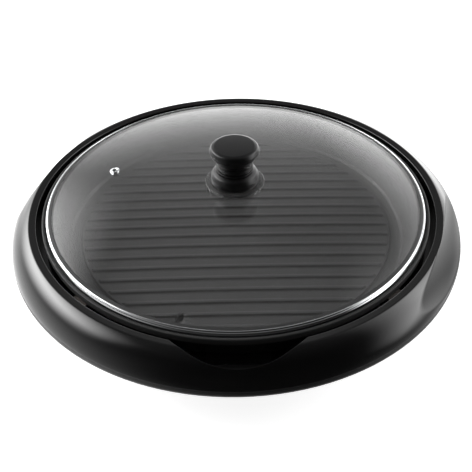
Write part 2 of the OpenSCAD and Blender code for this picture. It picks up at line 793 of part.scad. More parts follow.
module terminal_guard() color([0.6, 0.6, 0.62]) {
    depth = bracket_y - bracket_t - guard_end_y;
    height = guard_top_z - guard_bottom_z;
    translate([-bracket_w / 2, guard_end_y, guard_bottom_z]) difference() {
        cube([bracket_w, depth, height]);
        translate([guard_t, -1, guard_t])
            cube([bracket_w - 2 * guard_t, depth + 2, height - 2 * guard_t]);
    }
}

module earth_contact() color([0.8, 0.6, 0.3]) {
    strip_t = 0.6;
    strip_x = bracket_w / 2 - guard_t - strip_t;
    strip_y = guard_end_y + 3;
    translate([strip_x, strip_y, pin_z - 3])
        cube([strip_t, bracket_y - bracket_t - strip_y, 6]);
    translate([strip_x - 5, bracket_y - bracket_t - strip_t, pin_z - 3])
        cube([5 + strip_t, strip_t, 6]);
}

// ---- Lid ----

module glass_section() { // section of the glass, from its hole to its edge
    intersection() {
        difference() {
            translate([0, glass_ball_z]) circle(r = glass_ball_r, $fn = 720);
            translate([0, glass_ball_z]) circle(r = glass_ball_r - glass_t, $fn = 720);
        }
        translate([0, rim_z - 2 * band_drop]) square([glass_r, glass_rise + 3 * band_drop]);
    }
}

module at_vent() { // the vent's axis, square to the glass, with z = 0 on the glass's top face
    translate([0, 0, glass_ball_z]) rotate([0, 0, vent_dir])
        rotate([0, asin(vent_pos_r / glass_ball_r), 0])
            translate([0, 0, glass_ball_r]) children();
}

module lid_glass() color([0.7, 0.74, 0.76, 0.35]) {
    difference() {
        rotate_extrude($fn = ARC_FN) glass_section();
        translate([0, 0, rim_z - BIG / 2]) cylinder(h = BIG, r = glass_hole_r);
        at_vent() translate([0, 0, -2 * glass_t])
            cylinder(h = 4 * glass_t, r = vent_bore_d / 2 + eyelet_t + slip);
    }
}

function glass_face(r, depth) = // height of the glass's top face, or of one at a depth below it
    glass_ball_z + sqrt(pow(glass_ball_r - depth, 2) - r * r);

module lid_rim_band() color([0.86, 0.87, 0.88]) {
    seat_in_r = lid_r - band_w - 1;
    seat_out_r = glass_r + slip;
    rotate_extrude($fn = ARC_FN) difference() {
        union() {
            translate([lid_r - band_w, rim_z - band_drop])
                square([band_w - band_round, band_drop + band_rise]);
            translate([lid_r - band_round, rim_z - band_drop])
                square([band_round, band_drop + band_rise - band_round]);
            // rounded outer edge, as short flats
            translate([lid_r - band_round, rim_z + band_rise - band_round])
                polygon(concat([[0, 0]], [for (a = [0 : 11.25 : 90]) band_round * [cos(a), sin(a)]]));
        }
        // seat for the glass's edge
        polygon([[seat_in_r, glass_face(seat_in_r, 0) + slip], [seat_out_r, glass_face(seat_out_r, 0) + slip],
                 [seat_out_r, glass_face(seat_out_r, glass_t) - slip],
                 [seat_in_r, glass_face(seat_in_r, glass_t) - slip]]);
    }
}

module vent_eyelet() color([0.86, 0.87, 0.88]) {
    flange_r = vent_bore_d / 2 + eyelet_flange_w;
    at_vent() difference() {
        union() {
            translate([0, 0, 0.05]) cylinder(h = eyelet_t, r = flange_r);
            translate([0, 0, -glass_t - 0.05 - eyelet_t]) cylinder(h = eyelet_t, r = flange_r - 0.4);
            translate([0, 0, -glass_t - 0.05 - eyelet_t])
                cylinder(h = glass_t + 0.1 + 2 * eyelet_t, r = vent_bore_d / 2 + eyelet_t);
        }
        translate([0, 0, -2 * glass_t]) cylinder(h = 4 * glass_t, r = vent_bore_d / 2);
    }
}

module knob_pad() color([0.3, 0.3, 0.3, 0.5]) {
    translate([0, 0, pad_z - pad_t]) tube(pad_t, pad_d / 2, glass_hole_r);
}

module knob_section() { // right half of the knob, its foot on y = 0
    top_r = knob_top_d / 2;
    waist_r = knob_waist_d / 2;
    foot_r = knob_foot_d / 2;
    edge_r = 3.6;
    shoulder_r = 6.5;
    foot_h = 12;
    cove_z = 24;
    difference() {
        union() {
            // foot: a steep side under a round shoulder
            polygon([[0, 0], [foot_r - 0.8, 0], [foot_r, 2], [foot_r, foot_h - shoulder_r],
                     [foot_r - shoulder_r, foot_h], [0, foot_h]]);
            translate([foot_r - shoulder_r, foot_h - shoulder_r]) intersection() {
                circle(r = shoulder_r);
                square(shoulder_r);
            }
            // waist with two beads
            square([waist_r, cove_z]);
            for (z = [foot_h + 2, foot_h + 5]) translate([waist_r - 0.2, z]) circle(r = 0.9);
            // head
            polygon([[0, cove_z - 4], [waist_r, cove_z - 4], [top_r - 0.6, knob_h - 7],
                     [top_r, knob_h - 1.2 - edge_r], [top_r - edge_r, knob_h - 1.2], [0, knob_h]]);
            translate([top_r - edge_r, knob_h - 1.2 - edge_r]) circle(r = edge_r);
        }
        // groove above the foot
        translate([waist_r - 1, foot_h]) square([1.6, 1]);
    }
}

module lid_knob() color([0.06, 0.06, 0.06]) {
    translate([0, 0, pad_z]) difference() {
        rotate_extrude() intersection() {
            knob_section();
            square([knob_top_d, knob_h + 1]);
        }
        translate([0, 0, -1]) cylinder(h = insert_h + 1, r = insert_r + 0.05);
        translate([0, 0, -1]) cylinder(h = insert_h + 5, r = knob_screw_d / 2 + slip);
    }
}

module knob_insert() color([0.78, 0.62, 0.3]) {
    translate([0, 0, pad_z]) tube(insert_h, insert_r, knob_screw_d / 2 + 0.05);
}

module knob_seal() color([0.2, 0.2, 0.2]) {
    translate([0, 0, washer_z + washer_t]) tube(seal_t, seal_r, knob_screw_d / 2 + slip);
}

module knob_washer() color("silver") {
    translate([0, 0, washer_z]) tube(washer_t, washer_r, knob_screw_d / 2 + slip);
}

module knob_screw() color("silver") {
    translate([0, 0, washer_z]) {
        cylinder(h = pad_z - washer_z + insert_h - 2, r = knob_screw_d / 2);
        translate([0, 0, -knob_head_h]) cylinder(h = knob_head_h, r = knob_screw_d);
    }
}

base_ring();
lower_housing();
ring_screws();
rubber_feet();
foot_screws();
bay_liner();
liner_screws();
plate_rests();
rest_screws();
heat_shield();
shield_spacers();
shield_screws();
drip_tray();
grill_plate();
plate_wall();
plate_ledge();
heating_element();
element_clips();
clip_screws();
terminal_bracket();
bracket_screws();
terminal_pins();
pin_insulators();
probe_tube();
terminal_guard();
earth_contact();
lid_glass();
lid_rim_band();
vent_eyelet();
knob_pad();
lid_knob();
knob_insert();
knob_seal();
knob_washer();
knob_screw();
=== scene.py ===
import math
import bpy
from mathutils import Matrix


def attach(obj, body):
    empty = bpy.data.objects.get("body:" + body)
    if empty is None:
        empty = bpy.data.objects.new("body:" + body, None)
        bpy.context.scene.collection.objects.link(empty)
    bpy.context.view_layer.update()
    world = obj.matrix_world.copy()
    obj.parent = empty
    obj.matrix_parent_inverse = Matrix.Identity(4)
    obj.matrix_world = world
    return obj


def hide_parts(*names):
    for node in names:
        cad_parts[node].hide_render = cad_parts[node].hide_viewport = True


bl_info = {
    "name": "Countertop grill with glass lid",
    "version": (1, 0, 0),
    "blender": (4, 5, 0),
    "location": "View3D > Sidebar > Grill",
    "description": "Dresses a round ribbed grill: shell, hot plate, glass lid and inner parts",
    "category": "Add Mesh",
}

import bpy
import bmesh
import numpy as np
from mathutils import Matrix, Vector

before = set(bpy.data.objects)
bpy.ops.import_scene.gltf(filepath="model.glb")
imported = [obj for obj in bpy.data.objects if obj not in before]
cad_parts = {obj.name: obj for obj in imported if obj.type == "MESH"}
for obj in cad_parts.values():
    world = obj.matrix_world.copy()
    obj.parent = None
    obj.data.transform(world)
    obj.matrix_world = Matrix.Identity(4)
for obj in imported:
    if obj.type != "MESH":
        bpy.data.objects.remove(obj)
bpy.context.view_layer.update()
MM = 0.001

# Heights and radii shared by the pieces, in millimetres
LID_R = 180.0          # outside of the lid's steel band
GLASS_R = 179.3        # edge of the glass
GLASS_T = 4.0
BEAD_R = 177.3         # inside of the band's bead on the glass
BALL_R = 937.797       # radius of the glass's outer face
BALL_Z = -832.497
PAD_Z = 107.0          # top of the knob's pad
BAND_IN_R, BAND_LOW_Z, BAND_TOP_Z = 176.3, 83.2, 89.1
VENT_TURN, VENT_R = 164.0, 124.0       # degrees from +X, and distance from the axis
WELL_R, WELL_Z = 189.3, 85.5           # upper edge of the well that holds the plate
RIDGE_R, RIDGE_Z = 195.8, 86.5         # outer edge of the top band
BELT_X, BELT_Z, FLANK_R = 185.189, 58.0, 30.4114   # centre and radius of the flank's arc
SEAM_Z = 61.5                          # parting line of the two mouldings
SHELF_Z, SHELF_T, SHELF_R = 68.0, 2.5, 181.5
WALL = 3.0
BAY_HALF, BAY_R, BAY_IN_R = 39.0, 187.0, 192.8
NOTCH_AT, NOTCH_R = 138.0, 69.0        # centre and radius of the front notch
COOK_R, COOK_Z, CROWN = 150.0, 52.0, 2.4
DRAIN_TURN, DRAIN_R, DRAIN_START = 249.0, 155.5, 135.5
SCOOP_TUBE, SCOOP_TILT, SCOOP_FLAT, SCOOP_TURN = 60.0, 39.9, 197.0, 21.0


# -------- mesh tools

def softened(corners, steps=4, closed=True):
    """A section line of (r, z, radius) corners with each corner rounded."""
    out = []
    count = len(corners)
    for i, (x, z, radius) in enumerate(corners):
        if radius <= 0 or (not closed and i in (0, count - 1)):
            out.append((x, z))
            continue
        here = Vector((x, z))
        to_a = Vector(corners[i - 1][:2]) - here
        to_b = Vector(corners[(i + 1) % count][:2]) - here
        angle = to_a.angle(to_b)
        run = min(radius / math.tan(angle / 2), to_a.length * 0.49, to_b.length * 0.49)
        a, b = here + to_a.normalized() * run, here + to_b.normalized() * run
        for k in range(steps + 1):
            t = k / steps
            p = a * (1 - t) ** 2 + here * 2 * t * (1 - t) + b * t * t
            out.append((p.x, p.y))
    return out


def lathe(section, steps=256, closed=True):
    """Vertices and faces of a section turned about Z. Points on the axis become one vertex."""
    verts, faces, rows = [], [], []
    for r, z in section:
        if r < 1e-6:
            rows.append([len(verts)] * steps)
            verts.append((0.0, 0.0, z))
            continue
        rows.append(list(range(len(verts), len(verts) + steps)))
        for k in range(steps):
            a = 2 * math.pi * k / steps
            verts.append((r * math.cos(a), r * math.sin(a), z))
    pairs = list(zip(rows, rows[1:])) + ([(rows[-1], rows[0])] if closed else [])
    for low, high in pairs:
        for k in range(steps):
            n = (k + 1) % steps
            ring = []
            for v in (low[k], low[n], high[n], high[k]):
                if v not in ring:
                    ring.append(v)
            if len(ring) > 2:
                faces.append(ring)
    return verts, faces


def joined(*parts):
    """Several (vertices, faces) pairs as one."""
    verts, faces = [], []
    for v, f in parts:
        base = len(verts)
        verts += [tuple(p) for p in v]
        faces += [[i + base for i in face] for face in f]
    return verts, faces


def moved(part, matrix):
    """A part carried by a matrix."""
    return [tuple(matrix @ Vector(p)) for p in part[0]], part[1]


def piece(name, part, body, replaces=(), material=None, crease=40.0):
    """A finished object from vertices in millimetres, riding on a body."""
    mesh = bpy.data.meshes.new(name)
    bm = bmesh.new()
    verts = [bm.verts.new((x * MM, y * MM, z * MM)) for x, y, z in part[0]]
    for face in part[1]:
        try:
            bm.faces.new([verts[i] for i in face])
        except ValueError:
            continue
    bmesh.ops.remove_doubles(bm, verts=bm.verts, dist=1e-7)
    bmesh.ops.dissolve_degenerate(bm, edges=bm.edges, dist=1e-7)
    loose = [v for v in bm.verts if not v.link_faces]
    bmesh.ops.delete(bm, geom=loose, context="VERTS")
    bmesh.ops.recalc_face_normals(bm, faces=bm.faces)
    bm.to_mesh(mesh)
    bm.free()
    mesh.shade_smooth()
    mesh.set_sharp_from_angle(angle=math.radians(crease))
    obj = bpy.data.objects.new(name, mesh)
    bpy.context.scene.collection.objects.link(obj)
    if material:
        mesh.materials.append(material)
    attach(obj, body)
    if replaces:
        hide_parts(*replaces)
    return obj


def repaint(node, material, crease=30.0):
    """Gives a carried-over node its finish and smooth shading."""
    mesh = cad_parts[node].data
    mesh.materials.clear()
    mesh.materials.append(material)
    mesh.shade_smooth()
    mesh.set_sharp_from_angle(angle=math.radians(crease))


# -------- shared effects

def new_group(name, inputs, outputs):
    """A shader group with named number sockets; returns the tree and its two end nodes."""
    tree = bpy.data.node_groups.new(name, "ShaderNodeTree")
    kind = "NodeSocketFloat"
    for label, value in inputs.items():
        socket = tree.interface.new_socket(name=label, in_out="INPUT", socket_type=kind)
        socket.default_value = value
    for label in outputs:
        tree.interface.new_socket(name=label, in_out="OUTPUT", socket_type=kind)
    return tree, tree.nodes.new("NodeGroupInput"), tree.nodes.new("NodeGroupOutput")


def add(tree, kind, label="", **values):
    """A node with its plain properties set."""
    node = tree.nodes.new(kind)
    node.label = label
    for key, value in values.items():
        setattr(node, key, value)
    return node


def math_node(tree, operation, a, b=None, label="", clamp=False):
    """The result of a sum on numbers or other nodes' outputs."""
    node = add(tree, "ShaderNodeMath", label, operation=operation, use_clamp=clamp)
    for socket, value in zip(node.inputs, (a, b)):
        if value is None:
            continue
        if isinstance(value, (int, float)):
            socket.default_value = value
        else:
            tree.links.new(value, socket)
    return node.outputs[0]


def grain_group():
    """Fine surface texture: a height and a slow mottling, in object space."""
    tree, gin, gout = new_group(
        "Surface grain", {"Grain per metre": 900.0, "Mottle per metre": 25.0},
        ("Height", "Mottle"))
    place = add(tree, "ShaderNodeTexCoord")
    link = tree.links.new
    fine = add(tree, "ShaderNodeTexNoise", "Fine grain")
    fine.inputs["Detail"].default_value = 3.0
    slow = add(tree, "ShaderNodeTexNoise", "Slow mottle")
    slow.inputs["Detail"].default_value = 2.0
    for noise, rate in ((fine, "Grain per metre"), (slow, "Mottle per metre")):
        link(place.outputs["Object"], noise.inputs["Vector"])
        link(gin.outputs[rate], noise.inputs["Scale"])
    link(fine.outputs["Fac"], gout.inputs["Height"])
    link(slow.outputs["Fac"], gout.inputs["Mottle"])


def turning_group():
    """Turning marks: fine rings about the vertical axis."""
    tree, gin, gout = new_group("Turning marks", {"Marks per metre": 2500.0}, ("Height",))
    place = add(tree, "ShaderNodeTexCoord")
    link = tree.links.new
    split = add(tree, "ShaderNodeSeparateXYZ")
    link(place.outputs["Object"], split.inputs[0])
    square = [math_node(tree, "MULTIPLY", split.outputs[i], split.outputs[i]) for i in (0, 1)]
    reach = math_node(tree, "SQRT", math_node(tree, "ADD", *square), label="Distance from the axis")
    join = add(tree, "ShaderNodeCombineXYZ")
    link(reach, join.inputs[0])
    link(split.outputs[2], join.inputs[1])
    noise = add(tree, "ShaderNodeTexNoise", "Ring noise")
    noise.inputs["Detail"].default_value = 2.0
    link(join.outputs[0], noise.inputs["Vector"])
    link(gin.outputs["Marks per metre"], noise.inputs["Scale"])
    link(noise.outputs["Fac"], gout.inputs["Height"])


def wear_group():
    """Edge wear and settled dust as masks from 0 to 1."""
    tree, gin, gout = new_group(
        "Wear and dust", {"Edge start": 0.52, "Edge end": 0.6, "Dust per metre": 120.0},
        ("Edge", "Dust"))
    shape = add(tree, "ShaderNodeNewGeometry")
    link = tree.links.new
    place = add(tree, "ShaderNodeTexCoord")
    noise = add(tree, "ShaderNodeTexNoise", "Dust patches")
    noise.inputs["Detail"].default_value = 4.0
    link(place.outputs["Object"], noise.inputs["Vector"])
    link(gin.outputs["Dust per metre"], noise.inputs["Scale"])
    edge = add(tree, "ShaderNodeMapRange", "Raised edges", interpolation_type="SMOOTHSTEP")
    link(shape.outputs["Pointiness"], edge.inputs["Value"])
    link(gin.outputs["Edge start"], edge.inputs["From Min"])
    link(gin.outputs["Edge end"], edge.inputs["From Max"])
    link(edge.outputs["Result"], gout.inputs["Edge"])
    split = add(tree, "ShaderNodeSeparateXYZ")
    link(shape.outputs["Normal"], split.inputs[0])
    facing_up = math_node(tree, "MAXIMUM", split.outputs[2], 0.0, "Faces up")
    patches = math_node(tree, "POWER", noise.outputs["Fac"], 2.0, "Patchy")
    link(math_node(tree, "MULTIPLY", facing_up, patches, clamp=True), gout.inputs["Dust"])


def group_node(tree, name, **values):
    """A shared effect placed in a material, with its own values."""
    node = add(tree, "ShaderNodeGroup", name, node_tree=bpy.data.node_groups[name])
    for key, value in values.items():
        node.inputs[key].default_value = value
    return node


def new_material(name):
    """An empty material, its node tree and its shader."""
    mat = bpy.data.materials.new(name)
    mat.use_nodes = True
    return mat, mat.node_tree, mat.node_tree.nodes["Principled BSDF"]


def add_relief(tree, height, depth):
    """Feeds a height, depth millimetres deep, to the shader's normal."""
    relief = add(tree, "ShaderNodeBump", "Relief")
    relief.inputs["Distance"].default_value = depth * MM
    tree.links.new(height, relief.inputs["Height"])
    tree.links.new(relief.outputs["Normal"], tree.nodes["Principled BSDF"].inputs["Normal"])


def swap_for(tree, ray, other, label):
    """Shows another shader to one kind of ray."""
    mix = add(tree, "ShaderNodeMixShader", label)
    shown = (ray, tree.nodes["Principled BSDF"].outputs[0], other.outputs[0])
    for output, socket in zip(shown, mix.inputs):
        tree.links.new(output, socket)
    tree.links.new(mix.outputs[0], tree.nodes["Material Output"].inputs["Surface"])


def finish(name, color, rough, metallic=0.0, grain=900.0, bump=0.02, mottle=0.08, wear=0.0,
           dust=0.0, turned=False, **plain):
    """A material with grain in its normal, mottled roughness, worn edges and a little dust."""
    mat, tree, shader = new_material(name)
    link = tree.links.new
    shader.inputs["Metallic"].default_value = metallic
    for key, value in plain.items():
        shader.inputs[key.replace("_", " ")].default_value = value
    surface = group_node(tree, "Surface grain", **{"Grain per metre": grain})
    aging = group_node(tree, "Wear and dust")
    height = surface.outputs["Height"]
    if turned:
        height = group_node(tree, "Turning marks").outputs["Height"]
    add_relief(tree, height, bump)
    spread = add(tree, "ShaderNodeMapRange", "Roughness spread")
    spread.inputs["To Min"].default_value = max(0.02, rough - mottle)
    spread.inputs["To Max"].default_value = min(1.0, rough + mottle)
    link(surface.outputs["Mottle"], spread.inputs["Value"])
    dusty = math_node(tree, "MULTIPLY", aging.outputs["Dust"], dust, "Dust amount")
    link(math_node(tree, "ADD", spread.outputs["Result"], dusty, clamp=True),
         shader.inputs["Roughness"])
    tint = add(tree, "ShaderNodeMix", "Worn edges", data_type="RGBA")
    tint.inputs[6].default_value = (*color, 1.0)
    tint.inputs[7].default_value = (*[min(1.0, c * 1.6 + 0.01) for c in color], 1.0)
    link(math_node(tree, "MULTIPLY", aging.outputs["Edge"], wear, "Edge amount"), tint.inputs[0])
    grey = add(tree, "ShaderNodeMix", "Settled dust", data_type="RGBA")
    grey.inputs[7].default_value = (0.35, 0.34, 0.33, 1.0)
    link(tint.outputs[2], grey.inputs[6])
    link(math_node(tree, "MULTIPLY", dusty, 0.25, "Dust tint"), grey.inputs[0])
    link(grey.outputs[2], shader.inputs["Base Color"])
    return mat


def clear_finish(name, color, rough, ior, tint_shadow, grain=600.0, bump=0.001):
    """Glass or clear silicone, which lets light through to what is under it."""
    mat, tree, shader = new_material(name)
    shader.inputs["Base Color"].default_value = (*color, 1.0)
    shader.inputs["Roughness"].default_value = rough
    shader.inputs["IOR"].default_value = ior
    shader.inputs["Transmission Weight"].default_value = 1.0
    surface = group_node(tree, "Surface grain", **{"Grain per metre": grain})
    add_relief(tree, surface.outputs["Height"], bump)
    through = add(tree, "ShaderNodeBsdfTransparent", "Light through")
    through.inputs["Color"].default_value = (*tint_shadow, 1.0)
    rays = add(tree, "ShaderNodeLightPath")
    swap_for(tree, rays.outputs["Is Shadow Ray"], through, "Shadows stay light")
    return mat


# -------- settings

class ShellSettings(bpy.types.PropertyGroup):
    ridge_round: bpy.props.FloatProperty(
        name="Ridge rounding", description="Radius at the outer edge of the top band, in mm",
        default=0.9, min=0.2, max=2.5)
    scoop_depth: bpy.props.FloatProperty(
        name="Scoop depth", description="Deepest cut of the side hand-holds, in mm",
        default=6.4, min=4.0, max=7.0)
    scoop_soft: bpy.props.FloatProperty(
        name="Scoop edge softness", description="Blend where a hand-hold meets the flank, in mm",
        default=0.7, min=0.2, max=4.0)
    notch_round: bpy.props.FloatProperty(
        name="Notch edge rounding", description="Radius along the front notch's lip, in mm",
        default=0.7, min=0.2, max=1.5)
    color: bpy.props.FloatVectorProperty(
        name="Shell colour", description="Colour of the polished moulding", subtype="COLOR",
        default=(0.004, 0.004, 0.0041), min=0.0, max=1.0)
    roughness: bpy.props.FloatProperty(
        name="Shell roughness", description="Blur of the shell's reflections",
        default=0.15, min=0.05, max=1.0, subtype="FACTOR")


class PlateSettings(bpy.types.PropertyGroup):
    rib_height: bpy.props.FloatProperty(
        name="Rib height", description="Height of the ribs over the plate, in mm",
        default=2.0, min=1.0, max=2.3)
    rib_foot: bpy.props.FloatProperty(
        name="Rib foot blend", description="Width of the soft foot on each side of a rib, in mm",
        default=1.9, min=0.4, max=3.0)
    color: bpy.props.FloatVectorProperty(
        name="Coating colour", description="Colour of the non-stick coating", subtype="COLOR",
        default=(0.043, 0.043, 0.043), min=0.0, max=1.0)
    roughness: bpy.props.FloatProperty(
        name="Coating roughness", description="Blur of the coating's sheen",
        default=0.42, min=0.1, max=1.0, subtype="FACTOR")


class LidSettings(bpy.types.PropertyGroup):
    glass_color: bpy.props.FloatVectorProperty(
        name="Glass colour", description="Tint of the glass", subtype="COLOR",
        default=(0.945, 0.945, 0.945), min=0.0, max=1.0)
    band_roughness: bpy.props.FloatProperty(
        name="Band roughness", description="Blur of the steel band's reflections",
        default=0.07, min=0.02, max=1.0, subtype="FACTOR")
    knob_color: bpy.props.FloatVectorProperty(
        name="Knob colour", description="Colour of the moulded knob", subtype="COLOR",
        default=(0.006, 0.006, 0.0063), min=0.0, max=1.0)
    knob_roughness: bpy.props.FloatProperty(
        name="Knob roughness", description="Blur of the knob's highlights",
        default=0.3, min=0.05, max=1.0, subtype="FACTOR")


class StudioSettings(bpy.types.PropertyGroup):
    lens: bpy.props.FloatProperty(
        name="Lens", description="Focal length on a 36 mm wide frame", default=54.965, min=20.0,
        max=200.0)
    floor_color: bpy.props.FloatVectorProperty(
        name="Floor colour", description="Colour of the floor", subtype="COLOR",
        default=(0.86, 0.86, 0.86), min=0.0, max=1.0)
    left_box: bpy.props.FloatProperty(
        name="Left softbox", description="Power of the softbox on the left", default=26.0,
        min=0.0, unit="POWER")
    right_box: bpy.props.FloatProperty(
        name="Right softbox", description="Power of the softbox on the right", default=14.0,
        min=0.0, unit="POWER")
    fill: bpy.props.FloatProperty(
        name="Room light", description="Level of the room's even light", default=0.12, min=0.0,
        max=1.0)
    sweep: bpy.props.FloatProperty(
        name="Sweep level", description="Brightness of the pale sweep seen in gloss",
        default=1.79, min=0.0, max=5.0)
    backdrop: bpy.props.FloatProperty(
        name="Backdrop level", description="Brightness of the low backdrop seen in gloss and glass",
        default=2.9, min=0.0, max=8.0)
    ceiling: bpy.props.FloatProperty(
        name="Ceiling level", description="Brightness of the ceiling seen in gloss and glass",
        default=0.18, min=0.0, max=2.0)
    left_panel: bpy.props.FloatProperty(
        name="Left panel", description="Brightness of the left light panel seen in gloss",
        default=15.3, min=0.0, max=30.0)
    right_panel: bpy.props.FloatProperty(
        name="Right panel", description="Brightness of the right light panel seen in gloss",
        default=9.6, min=0.0, max=30.0)
    back_panel: bpy.props.FloatProperty(
        name="Back panel", description="Brightness of the panel at the back right, seen in gloss",
        default=1.85, min=0.0, max=30.0)


# -------- shell

def smooth_max(a, b, width):
    """The larger of two values, with a round change-over of the given width."""
    near = np.maximum(width - np.abs(a - b), 0.0) / width
    return np.maximum(a, b) + near * near * width / 4


def scoop_cut(points, normals, depth, soft):
    """How far each flank point moves in along its normal, for the two opposite hand-holds."""
    tilt, turn = math.radians(SCOOP_TILT), math.radians(SCOOP_TURN)
    reach = FLANK_R - depth + SCOOP_TUBE
    ring_r = BELT_X + reach * math.cos(tilt) + SCOOP_FLAT
    ring_z = BELT_Z + reach * math.sin(tilt)

    def outside(p):
        x = p[..., 0] * math.cos(turn) - p[..., 1] * math.sin(turn)
        y = p[..., 0] * math.sin(turn) + p[..., 1] * math.cos(turn)
        across = np.hypot(np.abs(x) + SCOOP_FLAT, y) - ring_r
        return np.hypot(across, p[..., 2] - ring_z) - SCOOP_TUBE

    cut = np.zeros(points.shape[:-1])
    for _ in range(8):
        at = points - normals * cut[..., None]
        gap = outside(at)
        slope = (outside(points - normals * (cut + 0.05)[..., None]) - gap) / 0.05
        cut = np.clip(cut - gap / np.maximum(slope, 0.25), -8.0, 9.0)
    over_seam = np.clip((points[..., 2] - SEAM_Z - 0.2) / 1.4, 0.0, 1.0)
    return smooth_max(cut, np.zeros_like(cut), soft) * over_seam


def notch_reach(angle):
    """Radius of the front notch's wall at an angle from the front, or the well's beside it."""
    across = NOTCH_AT * math.cos(angle)
    inside = across ** 2 - NOTCH_AT ** 2 + NOTCH_R ** 2
    return max(WELL_R, across + math.sqrt(inside)) if inside > 0 else WELL_R


def shell_section(dev, in_bay, opts):
    """Closed section of the shell's upper half at an angle from the front, as (r, z) rows.
    The second result says how many leading rows lie on the outer skin."""
    theta0 = math.atan2(RIDGE_Z - BELT_Z, RIDGE_R - BELT_X)
    seam_run = (theta0 - math.asin((SEAM_Z + 0.5 - BELT_Z) / FLANK_R)) * FLANK_R
    slope = Vector((WELL_R - RIDGE_R, WELL_Z - RIDGE_Z)).normalized()
    fillet = opts.ridge_round

    def skin(s):
        """Outer line, by distance from the ridge: negative on the top band."""
        def plain(t):
            if t <= 0:
                return Vector((RIDGE_R - slope.x * t, RIDGE_Z - slope.y * t))
            a = theta0 - t / FLANK_R
            return Vector((BELT_X + FLANK_R * math.cos(a), BELT_Z + FLANK_R * math.sin(a)))
        if abs(s) >= fillet:
            return plain(s)
        t = (s + fillet) / (2 * fillet)
        return (plain(-fillet) * (1 - t) ** 2 + Vector((RIDGE_R, RIDGE_Z)) * 2 * t * (1 - t)
                + plain(fillet) * t * t)

    wall_r = notch_reach(dev)
    if wall_r <= RIDGE_R:
        edge_s = -(RIDGE_R - wall_r) / -slope.x
        top_z = RIDGE_Z + slope.y * (RIDGE_R - wall_r) / -slope.x
    else:
        a = math.acos((wall_r - BELT_X) / FLANK_R)
        edge_s = (theta0 - a) * FLANK_R
        top_z = BELT_Z + FLANK_R * math.sin(a)
    edge = opts.notch_round
    start = [-6.577 + edge, -5.2, -4.2, -3.1, -2.0, -fillet * 1.5, -fillet, -fillet * 0.5, 0.0,
             fillet * 0.5, fillet, fillet * 1.6]
    steps = 44
    start += [fillet * 1.6 + (seam_run - fillet * 1.6) * k / steps for k in range(1, steps + 1)]
    run = [max(s, edge_s + edge + 0.22 * i) for i, s in enumerate(start)]
    rows = [skin(s) for s in run]
    lead = len(rows)
    angles = [theta0 - s / FLANK_R if s > 0 else math.pi / 2 for s in run]
    seam_r = BELT_X + math.sqrt(FLANK_R ** 2 - (SEAM_Z - BELT_Z) ** 2)
    rows += [Vector((seam_r - 0.12, SEAM_Z + 0.12)), Vector((seam_r - 0.5, SEAM_Z))]
    # inside face, hidden between the two mouldings
    inner = FLANK_R - WALL
    in_seam = BELT_X + math.sqrt(inner ** 2 - (SEAM_Z - BELT_Z) ** 2)
    top_in = max(BELT_X + math.sqrt(inner ** 2 - (WELL_Z - WALL - BELT_Z) ** 2), wall_r + SHELF_T)
    end_a = math.acos((top_in - BELT_X) / inner)
    start_a = math.acos((in_seam - BELT_X) / inner)
    inside = [(BELT_X + inner * math.cos(start_a + (end_a - start_a) * k / 12),
               BELT_Z + inner * math.sin(start_a + (end_a - start_a) * k / 12)) for k in range(13)]
    skirt = wall_r + SHELF_T
    inside += [(skirt, min(WELL_Z - WALL, inside[-1][1])), (skirt, SHELF_Z - SHELF_T)]
    rows += [Vector(p) for p in inside]
    in_r = BAY_IN_R / math.cos(dev) if in_bay else SHELF_R
    shelf = [207.0, 204.0, 201.0, 198.0, 196.0, 194.0, 192.8, 191.0, 189.3, 187.0, 184.5, 181.9]
    clamp = lambda r, high: min(max(r, in_r + 0.4), high)
    rows += [Vector((clamp(r, skirt), SHELF_Z - SHELF_T)) for r in shelf]
    rows += [Vector((in_r, SHELF_Z - SHELF_T + 0.4)), Vector((in_r, SHELF_Z - 0.4))]
    rows += [Vector((clamp(r, wall_r), SHELF_Z)) for r in reversed(shelf)]
    rows += [Vector((wall_r, SHELF_Z + (top_z - edge - SHELF_Z) * k / 4)) for k in range(5)]
    corner, a, b = Vector((wall_r, top_z)), Vector((wall_r, top_z - edge)), skin(run[0])
    for k in range(1, 4):
        t = k / 4
        rows.append(a * (1 - t) ** 2 + corner * 2 * t * (1 - t) + b * t * t)
    return rows, angles, lead


